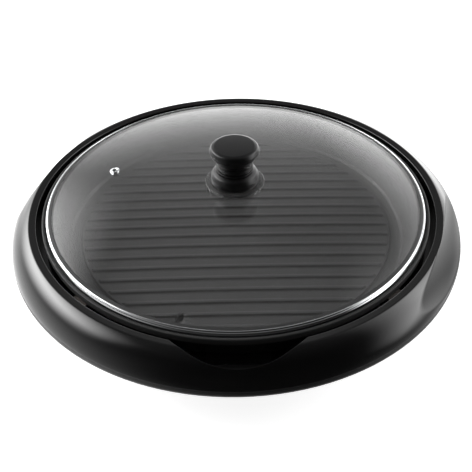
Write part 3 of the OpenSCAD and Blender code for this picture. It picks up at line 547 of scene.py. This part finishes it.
def shell_part(opts):
    """Upper half of the shell, with its hand-holds, finger notch and way in for the control."""
    bay = math.asin(BAY_HALF / BAY_R)
    devs = [(math.radians(d), False)
            for run in ((17.0, 42.0, 1.0), (42.0, 138.0, 0.4), (138.0, 180.0, 1.5))
            for d in np.arange(*run)]
    corner, at_ridge = (math.acos((r ** 2 + NOTCH_AT ** 2 - NOTCH_R ** 2) / (2 * NOTCH_AT * r))
                        for r in (WELL_R, RIDGE_R))
    near = sorted([(math.radians(d), True) for d in np.arange(0.5, 12.0, 0.5)]
                  + [(bay, True), (bay, False)]
                  + [(math.radians(d), False) for d in np.arange(12.5, 17.0, 0.35)]
                  + [(corner, False), (at_ridge, False)], key=lambda p: (p[0], not p[1]))
    half = near + devs
    columns = [(0.0, True)] + half + [(math.pi, False)] + [(-d, b) for d, b in reversed(half)]
    grid, outer, lead = [], [], 0
    for dev, in_bay in columns:
        rows, angles, lead = shell_section(abs(dev), in_bay, opts)
        turn = dev - math.pi / 2
        grid.append([(p.x * math.cos(turn), p.x * math.sin(turn), p.y) for p in rows])
        outer.append([(math.cos(a) * math.cos(turn), math.cos(a) * math.sin(turn), math.sin(a))
                      for a in angles])
    grid, outer = np.array(grid), np.array(outer)
    cut = scoop_cut(grid[:, :lead], outer, opts.scoop_depth, opts.scoop_soft)
    on_top = outer[..., 2] > 0.9999
    cut[on_top] = 0.0
    cut = np.where(np.abs(cut) < 0.004, 0.0, cut)
    grid[:, :lead] -= outer * cut[..., None]
    # the inside face keeps the wall's thickness behind each hand-hold
    first = lead + 2
    inner = grid[:, first:first + 13]
    middle = inner * (BELT_X / np.hypot(inner[..., 0], inner[..., 1]))[..., None]
    middle[..., 2] = BELT_Z
    out = inner - middle
    out /= np.linalg.norm(out, axis=-1, keepdims=True)
    behind = scoop_cut(inner + out * WALL, out, opts.scoop_depth, 0.01)
    inner -= out * behind[..., None]
    columns_n, rows_n = grid.shape[:2]
    faces = []
    for c in range(columns_n):
        n = (c + 1) % columns_n
        for r in range(rows_n):
            q = (r + 1) % rows_n
            faces.append([c * rows_n + r, n * rows_n + r, n * rows_n + q, c * rows_n + q])
    return [tuple(p) for p in grid.reshape(-1, 3)], faces


class GRILL_OT_shell(bpy.types.Operator):
    """Build the shell's upper half with its hand-holds and finger notch"""
    bl_idname = "grill.shell"
    bl_label = "Shell"

    def execute(self, context):
        opts = context.scene.grill_shell
        gloss = finish("Polished shell", opts.color, opts.roughness, grain=320.0, bump=0.0025,
                       mottle=0.03, wear=0.08, dust=0.004)
        piece("shell_top", shell_part(opts), "base", ["base_ring"], gloss, crease=38.0)
        satin = finish("Satin housing", [c * 0.9 for c in opts.color], 0.4, grain=900.0,
                       bump=0.006, mottle=0.05)
        repaint("lower_housing", satin, 30.0)
        matt = finish("Matt bay", (0.008, 0.008, 0.0085), 0.6, grain=1400.0, bump=0.01)
        repaint("bay_liner", matt)
        repaint("plate_rests", finish("Phenolic rests", (0.03, 0.024, 0.02), 0.55, grain=700.0,
                                      bump=0.02))
        repaint("rubber_feet", finish("Foot rubber", (0.02, 0.02, 0.02), 0.8, grain=1100.0,
                                      bump=0.03, dust=0.1))
        return {"FINISHED"}


# -------- hot plate

def crown_z(r):
    """Height of the cooking surface between the ribs."""
    return COOK_Z + CROWN * (1 - (r / COOK_R) ** 2)


def rib_rows(opts):
    """Rows across the ribs: y and the share of the rib's height there."""
    pitch, offset, half = 15.0, -5.4, 2.0
    foot = opts.rib_foot
    shape = [(-half - foot, 0.0), (-half - foot * 0.5, 0.04), (-half - foot * 0.1, 0.2),
             (-half + 0.15, 0.5), (-half + 0.35, 0.8), (-half + 0.65, 0.95), (-half + 1.1, 1.0)]
    shape = shape + [(-y, h) for y, h in reversed(shape)]
    rows = []
    for k in range(-10, 11):
        middle = offset + k * pitch
        rows += [(middle + y, h) for y, h in shape if abs(middle + y) < COOK_R - 1.5]
        rows += [(middle + y, 0.0) for y in (5.0, 7.5, 10.0) if abs(middle + y) < COOK_R - 1.5]
    rows += [(-COOK_R + 0.5, 0.0), (-COOK_R + 1.0, 0.0), (COOK_R - 1.0, 0.0), (COOK_R - 0.5, 0.0)]
    return sorted(set(rows))


def ribbed_part(opts):
    """The ribbed cooking surface as a field of rows, and its rim as a list of vertex numbers."""
    edge_r = COOK_R - 0.4
    inset = [0.0, 0.5, 1.0, 1.5, 2.0, 2.6, 3.6, 6.0, 10.0]
    verts, faces, rows = [], [], []
    for y, h in rib_rows(opts):
        reach = math.sqrt(max(edge_r ** 2 - y * y, 0.01))
        scale = min(1.0, reach / 14.0)
        left = [-reach + d * scale for d in inset]
        span = left[-1]
        middle = [span + (-2 * span) * k / 14 for k in range(1, 14)]
        line = left + middle + [-x for x in reversed(left)]
        row = []
        for x in line:
            r = math.hypot(x, y)
            share = min(max((edge_r - 0.6 - r) / 1.5, 0.0), 1.0)
            share = share * share * (3 - 2 * share)
            row.append(len(verts))
            verts.append((x, y, crown_z(r) + opts.rib_height * h * share))
        rows.append(row)
    for low, high in zip(rows, rows[1:]):
        for a, b, c, d in zip(low, low[1:], high[1:], high):
            faces.append([a, b, c, d])
    rim = rows[0] + [row[-1] for row in rows[1:]] + rows[-1][-2::-1]
    rim += [row[0] for row in rows[-2:0:-1]]
    return verts, faces, rim


def stitched(verts, inner, outer):
    """Triangles between two rings of vertex numbers, walked by angle."""
    angle = lambda i: math.atan2(verts[i][1], verts[i][0])
    a, b = sorted(inner, key=angle), sorted(outer, key=angle)
    faces, i, j = [], 0, 0
    while i < len(a) or j < len(b):
        next_a = angle(a[(i + 1) % len(a)]) + (2 * math.pi if i + 1 >= len(a) else 0)
        next_b = angle(b[(j + 1) % len(b)]) + (2 * math.pi if j + 1 >= len(b) else 0)
        if j >= len(b) or (i < len(a) and next_a < next_b):
            faces.append([a[i % len(a)], a[(i + 1) % len(a)], b[j % len(b)]])
            i += 1
        else:
            faces.append([a[i % len(a)], b[(j + 1) % len(b)], b[j % len(b)]])
            j += 1
    return faces


def plate_part(opts):
    """The casting: ledge, lip, sloping wall, channel and underside, round the ribbed field."""
    section = softened([
        (150.0, 52.0, 0), (151.0, 49.5, 0.9), (161.0, 49.5, 2.2), (163.2, 52.0, 2.2),
        (172.0, 82.0, 0.5), (173.0, 83.0, 0.5), (181.2, 83.0, 0.4), (181.2, 85.7, 1.3),
        (184.0, 85.7, 1.3), (184.0, 79.5, 0.5), (175.5, 79.5, 1.5), (166.0, 49.5, 2.0),
        (163.5, 46.5, 1.0), (151.0, 46.5, 0.5), (150.0, 47.5, 0.5), (60.0, 47.5, 0),
        (0.0, 47.5, 0)], steps=5, closed=False)
    ring_v, ring_f = lathe(section, 360, closed=False)
    field_v, field_f, rim = ribbed_part(opts)
    verts, faces = joined((ring_v, ring_f), (field_v, field_f))
    base = len(ring_v)
    faces += stitched(verts, [i + base for i in rim], list(range(360)))
    return verts, faces


def rod(radius, start, end, steps=32, chamfer=0.3):
    """A closed round bar between two points, with chamfered ends."""
    start, end = Vector(start), Vector(end)
    length = (end - start).length
    section = softened([(0, 0, 0), (radius, 0, chamfer), (radius, length, chamfer), (0, length, 0)],
                       steps=2, closed=False)
    turn = (end - start).to_track_quat("Z", "Y").to_matrix().to_4x4()
    return moved(lathe(section, steps, closed=False), Matrix.Translation(start) @ turn)


def saddle_part():
    """The block that holds the probe's tube under the plate."""
    low = math.radians(26.4)
    arch = [(4.5 * math.cos(a), 40.0 + 4.5 * math.sin(a))
            for a in np.linspace(low, math.pi - low, 13)]
    outline = [(6.4, 48.0), (6.4, 42.0), (4.5 * math.cos(low), 42.0)]
    outline += arch + [(-x, z) for x, z in reversed(outline)]
    verts = [(x, y, z) for y in (-104.0, -131.0) for x, z in outline]
    n = len(outline)
    faces = [[i, (i + 1) % n, n + (i + 1) % n, n + i] for i in range(n)]
    faces += [list(range(n)), list(range(2 * n - 1, n - 1, -1))]
    return verts, faces


class GRILL_OT_hot_plate(bpy.types.Operator):
    """Build the ribbed hot plate with its channel, drain and mounting bosses"""
    bl_idname = "grill.hot_plate"
    bl_label = "Hot plate"

    def execute(self, context):
        opts = context.scene.grill_plate
        coat = finish("Non-stick coating", opts.color, opts.roughness, grain=1300.0, bump=0.007,
                      mottle=0.05, wear=0.1, Specular_IOR_Level=0.12)
        bosses = []   # two beside each of the element's clips
        for turn in (-30, 30, 90, 150, 210):
            for reach in (95.5, 114.5):
                x, y = reach * math.cos(math.radians(turn)), reach * math.sin(math.radians(turn))
                bosses.append(rod(4.5, (x, y, 40.3), (x, y, 47.8)))
        casting = joined(plate_part(opts), *bosses, saddle_part())
        plate = piece("hot_plate", casting, "plate", ["grill_plate", "plate_wall", "plate_ledge"],
                      coat, crease=45.0)
        drill_drain(plate)
        return {"FINISHED"}


def drill_drain(plate):
    """Cuts the grease drain and the trough that feeds it."""
    at = Matrix.Rotation(math.radians(DRAIN_TURN), 4, "Z")
    hole = moved(lathe(softened([(0, 40, 0), (4.5, 40, 0), (4.5, 60, 0), (0, 60, 0)],
                                closed=False), 48, closed=False),
                 at @ Matrix.Translation((DRAIN_R, 0, 0)))
    outline = [(DRAIN_START + 3 * math.cos(a), 3 * math.sin(a))
               for a in np.linspace(math.pi / 2, 1.5 * math.pi, 17)]
    outline += [(DRAIN_R, -3.0), (DRAIN_R, 3.0)]
    n = len(outline)
    verts = [(x, y, z) for z in (49.5, 60.0) for x, y in outline]
    faces = [[i, (i + 1) % n, n + (i + 1) % n, n + i] for i in range(n)]
    faces += [list(range(n - 1, -1, -1)), list(range(n, 2 * n))]
    for part in (hole, moved((verts, faces), at)):
        cut_away(plate, part, "plate")


def cut_away(obj, part, body):
    """Cuts a closed part out of an object, and keeps the result as its mesh."""
    cutter = piece("cutter", part, body)
    cut = obj.modifiers.new("Cut", "BOOLEAN")
    cut.operation, cut.object, cut.solver = "DIFFERENCE", cutter, "EXACT"
    graph = bpy.context.evaluated_depsgraph_get()
    graph.update()
    done = bpy.data.meshes.new_from_object(obj.evaluated_get(graph))
    old = obj.data
    obj.modifiers.clear()
    obj.data = done
    done.name = old.name + "_final"
    bpy.data.meshes.remove(old)
    bpy.data.objects.remove(cutter)


# -------- lid

def glass_z(r, depth=0.0):
    """Height of the glass at a radius, or of the face that lies depth under it."""
    return BALL_Z + math.sqrt((BALL_R - depth) ** 2 - r * r)


def vent_frame():
    """Matrix of the steam vent's axis, square to the glass, with z = 0 on its outer face."""
    return (Matrix.Translation((0, 0, BALL_Z)) @ Matrix.Rotation(math.radians(VENT_TURN), 4, "Z")
            @ Matrix.Rotation(math.asin(VENT_R / BALL_R), 4, "Y")
            @ Matrix.Translation((0, 0, BALL_R)))


class GRILL_OT_lid(bpy.types.Operator):
    """Build the glass, its rolled steel band and the steam vent"""
    bl_idname = "grill.lid"
    bl_label = "Lid"

    def execute(self, context):
        opts = context.scene.grill_lid
        radii = [4.4] + [8 + (GLASS_R - 9.5) * k / 60 for k in range(61)]
        top = [(r, glass_z(r)) for r in radii]
        under = [(r, glass_z(r, GLASS_T)) for r in reversed(radii)]
        edge_hi, edge_lo = glass_z(GLASS_R), glass_z(GLASS_R, GLASS_T)
        near = GLASS_R - 1.2
        rim = softened([(near, glass_z(near), 0), (GLASS_R, edge_hi, 0.7), (GLASS_R, edge_lo, 0.7),
                        (near, glass_z(near, GLASS_T), 0)], closed=False)
        bore = [(4.0, glass_z(4.0, GLASS_T) + 0.4), (4.0, glass_z(4.0) - 0.4)]
        glass = clear_finish("Lid glass", opts.glass_color, 0.015, 1.5, (0.9, 0.9, 0.9))
        pane = piece("lid_pane", lathe(top + rim + under + bore, 360), "lid", ["lid_glass"], glass)
        vent_hole = lathe([(0, -8), (3.4, -8), (3.4, 8), (0, 8)], 64, closed=False)
        cut_away(pane, moved(vent_hole, vent_frame()), "lid")
        steel = finish("Rolled steel band", (0.78, 0.79, 0.8), opts.band_roughness, 1.0,
                       bump=0.0015, mottle=0.05, turned=True)
        band = softened([(BEAD_R, glass_z(BEAD_R) + 0.05, 0.1), (BEAD_R, BAND_TOP_Z, 0.9),
                         (LID_R - 1.7, BAND_TOP_Z, 0.8), (LID_R, 86.2, 0.8),
                         (LID_R, BAND_LOW_Z, 0.5), (BAND_IN_R, BAND_LOW_Z, 0.5),
                         (BAND_IN_R, glass_z(BAND_IN_R, GLASS_T) - 0.1, 0.1),
                         (179.4, glass_z(179.4, GLASS_T) - 0.1, 0.1),
                         (179.4, glass_z(179.4) + 0.05, 0.1)], steps=6)
        piece("rim_band", lathe(band, 360), "lid", ["lid_rim_band"], steel)
        # Dark bead on the glass inside the band, r 174.2 to 177.5 mm: partly bonding silicone,
        # partly painted shade standing in for the shadow line under the band's inner edge.
        seal_finish_and_shade = finish("Bonding silicone and painted shade", (0.012, 0.012, 0.012), 0.45, grain=1100.0, bump=0.01)
        seal = softened([(174.2, glass_z(174.2) - 0.1, 0), (174.2, glass_z(174.2) + 0.15, 0.15),
                         (BEAD_R + 0.2, glass_z(BEAD_R + 0.2) + 0.3, 0),
                         (BEAD_R + 0.2, glass_z(BEAD_R + 0.2) - 0.1, 0)], steps=3)
        piece("band_seal_and_shade", lathe(seal, 360), "lid", material=seal_finish_and_shade)
        bright = finish("Vent steel", (0.8, 0.81, 0.82), 0.18, 1.0, bump=0.001, mottle=0.04)
        eyelet = softened([(2.5, -4.85, 0.3), (2.5, 0.85, 0.4), (3.2, 1.0, 0.3), (4.7, 0.55, 0.35),
                           (4.7, 0.05, 0.1), (3.3, 0.05, 0), (3.3, -4.05, 0), (4.3, -4.05, 0.1),
                           (4.3, -4.85, 0.3)], steps=4)
        piece("steam_vent", moved(lathe(eyelet, 64), vent_frame()), "lid", ["vent_eyelet"], bright)
        return {"FINISHED"}


def knob_section():
    """Right half of the knob, its foot on z = 0: domed foot, two beads, waist and rounded head."""
    line = softened([(0, 0, 0), (21.8, 0, 0.6), (22.6, 2.2, 1.2), (22.6, 6.4, 3.0),
                     (20.8, 10.4, 3.0), (17.3, 12.0, 1.6), (16.2, 12.1, 0)], steps=5, closed=False)
    line += softened([(15.9, 12.4, 0), (15.9, 13.3, 0), (17.5, 13.6, 0.5), (17.5, 14.9, 0.5),
                      (15.9, 15.3, 0.3), (15.9, 16.3, 0.3), (17.3, 16.6, 0.5), (17.3, 17.9, 0.5),
                      (16.2, 18.3, 0.3), (16.4, 21.5, 3.0), (18.0, 25.0, 3.5), (22.6, 30.2, 3.5),
                      (23.3, 34.0, 2.5), (21.6, 37.4, 2.6), (18.5, 38.3, 1.5), (0, 38.9, 0)],
                     steps=5, closed=False)
    return line


class GRILL_OT_knob(bpy.types.Operator):
    """Build the knob and its clear pad"""
    bl_idname = "grill.knob"
    bl_label = "Knob"

    def execute(self, context):
        opts = context.scene.grill_lid
        moulded = finish("Moulded knob", opts.knob_color, opts.knob_roughness, grain=1500.0,
                         bump=0.004, mottle=0.04, wear=0.3, dust=0.03, Specular_IOR_Level=0.26)
        section = [(r, z + PAD_Z) for r, z in knob_section()]
        bore = [(0.0, PAD_Z + 19.0), (2.6, PAD_Z + 18.0), (2.6, PAD_Z + 14.0), (4.15, PAD_Z + 14.0),
                (4.15, PAD_Z)]
        piece("knob", lathe(bore + section[1:], 192, closed=False), "lid", ["lid_knob"], moulded,
              crease=50.0)
        soft = clear_finish("Clear pad", (0.5, 0.5, 0.5), 0.25, 1.41, (0.6, 0.6, 0.6),
                            grain=900.0, bump=0.01)
        pad = softened([(4.0, 105.3, 0), (28.0, 105.3, 0.3), (28.0, 107.0, 0.7), (4.0, 107.0, 0)],
                       steps=4)
        piece("knob_collar", lathe(pad, 192), "lid", ["knob_pad"], soft)
        return {"FINISHED"}


# -------- inner parts

class GRILL_OT_inner_parts(bpy.types.Operator):
    """Finish the tray, shield, element, terminals and fasteners"""
    bl_idname = "grill.inner_parts"
    bl_label = "Inner parts"

    def execute(self, context):
        zinc = finish("Zinc plate", (0.55, 0.55, 0.54), 0.32, 1.0, grain=1600.0, bump=0.004,
                      mottle=0.1, wear=0.3)
        sheet = finish("Pressed steel", (0.52, 0.52, 0.53), 0.36, 1.0, grain=1200.0, bump=0.005,
                       mottle=0.08)
        aluminium = finish("Pressed aluminium", (0.42, 0.42, 0.43), 0.42, 1.0, bump=0.002,
                           mottle=0.08, turned=True)
        sheath = finish("Heat-tinted sheath", (0.2, 0.17, 0.15), 0.45, 1.0, grain=700.0,
                        bump=0.006, mottle=0.15)
        ceramic = finish("Unglazed ceramic", (0.8, 0.77, 0.7), 0.7, grain=1500.0, bump=0.02)
        brass = finish("Turned brass", (0.7, 0.5, 0.22), 0.3, 1.0, bump=0.002, turned=True)
        steel = finish("Terminal steel", (0.7, 0.69, 0.66), 0.25, 1.0, grain=1800.0, bump=0.002)
        rubber = finish("Seal silicone", (0.25, 0.25, 0.25), 0.6, grain=900.0, bump=0.01)
        looks = (
            (zinc, "ring_screws foot_screws liner_screws rest_screws shield_screws clip_screws "
                   "bracket_screws knob_screw knob_washer"),
            (aluminium, "heat_shield drip_tray"),
            (sheet, "element_clips terminal_bracket terminal_guard"),
            (sheath, "heating_element"), (ceramic, "shield_spacers pin_insulators"),
            (brass, "earth_contact knob_insert"), (steel, "terminal_pins probe_tube"),
            (rubber, "knob_seal"))
        for material, nodes in looks:
            for node in nodes.split():
                repaint(node, material)
        return {"FINISHED"}


# -------- studio

def direction(turn, lift):
    """Unit vector at a turn from the back towards the right, and a lift, in degrees."""
    turn, lift = math.radians(turn), math.radians(lift)
    return Vector((math.sin(turn) * math.cos(lift), math.cos(turn) * math.cos(lift),
                   math.sin(lift)))


def softbox(name, turn, lift, size, power, reach=1.5):
    """A rectangular lamp facing the grill, for its even light; gloss sees the world's panels."""
    data = bpy.data.lights.new(name, "AREA")
    data.shape, data.energy = "RECTANGLE", power
    data.size, data.size_y = size
    obj = bpy.data.objects.new(name, data)
    bpy.context.scene.collection.objects.link(obj)
    towards = direction(turn, lift)
    obj.location = towards * reach + Vector((0.0, 0.0, 0.06))
    obj.rotation_mode = "QUATERNION"
    obj.rotation_quaternion = towards.to_track_quat("Z", "Y")
    obj.visible_glossy = False
    return obj


def ramp(tree, value, start, end, low, high, label):
    """A smooth change of a value between two ends."""
    node = add(tree, "ShaderNodeMapRange", label, interpolation_type="SMOOTHSTEP")
    ends = {"From Min": start, "From Max": end, "To Min": low, "To Max": high}
    for socket, number in ends.items():
        node.inputs[socket].default_value = number
    tree.links.new(value, node.inputs["Value"])
    return node.outputs["Result"]


def soft_panel(tree, ray, name, turn, lift, roll, half, edge, level):
    """A soft-edged light panel far away, as gloss sees it."""
    ahead, spin = direction(turn, lift), math.radians(roll)
    across = direction(turn + 90.0, 0.0)
    up = ahead.cross(across) * (1 if ahead.cross(across).z > 0 else -1)
    axes = (across * math.cos(spin) + up * math.sin(spin),
            up * math.cos(spin) - across * math.sin(spin))
    facing = add(tree, "ShaderNodeVectorMath", name, operation="DOT_PRODUCT")
    facing.inputs[1].default_value = ahead
    tree.links.new(ray, facing.inputs[0])
    depth = math_node(tree, "MAXIMUM", facing.outputs["Value"], 0.001)
    seen = math_node(tree, "GREATER_THAN", facing.outputs["Value"], 0.0)
    for axis, reach, soft in zip(axes, half, edge):
        along = add(tree, "ShaderNodeVectorMath", name, operation="DOT_PRODUCT")
        along.inputs[1].default_value = axis
        tree.links.new(ray, along.inputs[0])
        off = math_node(tree, "DIVIDE", math_node(tree, "ABSOLUTE", along.outputs["Value"]), depth)
        inside = ramp(tree, off, reach - soft, reach + soft, 1.0, 0.0, name)
        seen = math_node(tree, "MULTIPLY", seen, inside)
    return math_node(tree, "MULTIPLY", seen, level, name)


def studio_world(opts):
    """White to the camera and through glass, even light for matt surfaces, and for gloss
    a pale low backdrop, darker towards the front, with three soft panels."""
    world = bpy.data.worlds.new("Studio")
    bpy.context.scene.world = world
    world.use_nodes = True
    tree = world.node_tree
    back = tree.nodes["Background"]
    link = tree.links.new
    rays = add(tree, "ShaderNodeLightPath")
    place = add(tree, "ShaderNodeTexCoord")
    ray = place.outputs["Generated"]
    split = add(tree, "ShaderNodeSeparateXYZ")
    link(ray, split.inputs[0])
    x, y, z = split.outputs
    front = add(tree, "ShaderNodeVectorMath", "Away from the front", operation="DOT_PRODUCT")
    front.inputs[1].default_value = (-0.193, 0.981, 0.0)
    link(ray, front.inputs[0])
    open_room = ramp(tree, front.outputs["Value"], -0.835, 0.6, 0.02, 1.0, "Darker room in front")
    sides = ramp(tree, x, -0.4, 0.4, opts.sweep, opts.sweep * 0.53, "Paler sweep on the left")
    rise = math_node(tree, "ADD", z, math_node(tree, "MULTIPLY", y, 0.1))
    low = math_node(tree, "MULTIPLY", sides, ramp(tree, rise, -0.23, 0.67, 1.0, 0.0, "Low sweep"))
    above = math_node(tree, "MAXIMUM", math_node(tree, "SUBTRACT", z, 0.043), 0.0)
    fade = math_node(tree, "EXPONENT", math_node(tree, "MULTIPLY", above, -6.0), label="Fades up")
    behind = ramp(tree, y, 0.43, 1.0, 0.0, opts.backdrop, "Backdrop")
    behind = math_node(tree, "MULTIPLY", behind, fade)
    behind = math_node(tree, "MULTIPLY", behind, ramp(tree, z, -0.2, 0.05, 0.0, 1.0, "Horizon"))
    glow = math_node(tree, "ADD", math_node(tree, "ADD", low, behind), opts.ceiling, "Ceiling")
    seen = math_node(tree, "MULTIPLY", glow, open_room, "Room seen in gloss")
    # turn, lift and roll in degrees, then half the size and the soft edge for one metre away
    panels = (("Left panel", -67.5, 33.4, -18.3, (0.464, 0.2), (0.402, 0.313), opts.left_panel),
              ("Right panel", 83.3, 24.1, 35.0, (0.087, 0.648), (0.5, 0.6), opts.right_panel),
              ("Back panel", 39.7, 15.0, -44.0, (0.319, 0.724), (0.136, 0.349), opts.back_panel))
    for panel in panels:
        seen = math_node(tree, "ADD", seen, soft_panel(tree, ray, *panel))
    level = add(tree, "ShaderNodeMix", "Room light")
    level.inputs[2].default_value = opts.fill
    undiffused = math_node(tree, "LESS_THAN", rays.outputs["Diffuse Depth"], 0.5)
    link(math_node(tree, "MULTIPLY", rays.outputs["Is Glossy Ray"], undiffused, "Seen in gloss"),
         level.inputs[0])
    link(seen, level.inputs[3])
    white = add(tree, "ShaderNodeMix", "White to the camera")
    white.inputs[3].default_value = 1.0
    straight = math_node(tree, "LESS_THAN", rays.outputs["Glossy Depth"], 0.5)
    through = math_node(tree, "MULTIPLY", rays.outputs["Is Transmission Ray"],
                        math_node(tree, "MULTIPLY", straight, undiffused), "Straight through glass")
    link(math_node(tree, "MAXIMUM", rays.outputs["Is Camera Ray"], through), white.inputs[0])
    link(level.outputs[0], white.inputs[2])
    link(white.outputs[0], back.inputs["Strength"])
    back.inputs["Color"].default_value = (1.0, 1.0, 1.0, 1.0)


def floor_material(color):
    """Pale floor that reads white to the camera and keeps the object's shadow.
    Gloss sees the studio's low sweep in its place."""
    mat, tree, shader = new_material("Studio floor")
    shader.inputs["Base Color"].default_value = (*color, 1.0)
    shader.inputs["Roughness"].default_value = 1.0
    shader.inputs["Specular IOR Level"].default_value = 0.0
    shader.inputs["Emission Color"].default_value = (1.0, 1.0, 1.0, 1.0)
    rays = add(tree, "ShaderNodeLightPath")
    lift = math_node(tree, "MULTIPLY", rays.outputs["Is Camera Ray"], 0.86, "Lift to white")
    tree.links.new(lift, shader.inputs["Emission Strength"])
    clear = add(tree, "ShaderNodeBsdfTransparent")
    swap_for(tree, rays.outputs["Is Glossy Ray"], clear, "Sweep seen in gloss")
    return mat


class GRILL_OT_studio(bpy.types.Operator):
    """Set the floor, lights, world and camera"""
    bl_idname = "grill.studio"
    bl_label = "Studio"

    def execute(self, context):
        opts = context.scene.grill_studio
        scene = context.scene
        scene.view_settings.view_transform = "Standard"
        mesh = bpy.data.meshes.new("floor")
        mesh.from_pydata([(-4, -3, 0), (4, -3, 0), (4, 6, 0), (-4, 6, 0)], [], [[0, 1, 2, 3]])
        mesh.materials.append(floor_material(opts.floor_color))
        ground = bpy.data.objects.new("floor", mesh)
        scene.collection.objects.link(ground)
        studio_world(opts)
        softbox("Left softbox", -75.0, 31.0, (1.21, 0.84), opts.left_box)
        softbox("Right softbox", 77.0, 31.0, (1.3, 0.8), opts.right_box)
        data = bpy.data.cameras.new("Camera")
        data.lens, data.sensor_width = opts.lens, 36.0
        camera = bpy.data.objects.new("Camera", data)
        scene.collection.objects.link(camera)
        tilt, roll, distance = math.radians(39.398), math.radians(1.146), 0.72666
        ahead = Vector((0.0, math.cos(tilt), -math.sin(tilt)))
        right, up = Vector((1.0, 0.0, 0.0)), Vector((0.0, math.sin(tilt), math.cos(tilt)))
        x_axis = right * math.cos(roll) - up * math.sin(roll)
        y_axis = right * math.sin(roll) + up * math.cos(roll)
        camera.rotation_mode = "QUATERNION"
        camera.rotation_quaternion = Matrix((x_axis, y_axis, -ahead)).transposed().to_quaternion()
        camera.location = Vector((-0.07, 0.0, 38.28)) * MM - ahead * distance
        scene.camera = camera
        return {"FINISHED"}


# -------- add-on

class GRILL_PT_panel(bpy.types.Panel):
    """Buttons that build the grill's pieces"""
    bl_idname = "GRILL_PT_panel"
    bl_label = "Countertop grill"
    bl_space_type = "VIEW_3D"
    bl_region_type = "UI"
    bl_category = "Grill"

    def draw(self, context):
        layout = self.layout
        for group in ("grill_shell", "grill_plate", "grill_lid", "grill_studio"):
            box = layout.box()
            settings = getattr(context.scene, group)
            for name in settings.__annotations__:
                box.prop(settings, name)
        for operator in OPERATORS:
            layout.operator(operator.bl_idname)


OPERATORS = (GRILL_OT_shell, GRILL_OT_hot_plate, GRILL_OT_lid, GRILL_OT_knob,
             GRILL_OT_inner_parts, GRILL_OT_studio)
GROUPS = {"grill_shell": ShellSettings, "grill_plate": PlateSettings, "grill_lid": LidSettings,
          "grill_studio": StudioSettings}


def register():
    for name, group in GROUPS.items():
        bpy.utils.register_class(group)
        setattr(bpy.types.Scene, name, bpy.props.PointerProperty(type=group))
    for kind in (*OPERATORS, GRILL_PT_panel):
        bpy.utils.register_class(kind)


def unregister():
    for kind in (GRILL_PT_panel, *reversed(OPERATORS)):
        bpy.utils.unregister_class(kind)
    for name, group in reversed(list(GROUPS.items())):
        delattr(bpy.types.Scene, name)
        bpy.utils.unregister_class(group)


def main():
    register()
    grain_group()
    turning_group()
    wear_group()
    bpy.ops.grill.shell()
    bpy.ops.grill.hot_plate()
    bpy.ops.grill.lid()
    bpy.ops.grill.knob()
    bpy.ops.grill.inner_parts()
    bpy.ops.grill.studio()


if __name__ == "__main__":
    main()
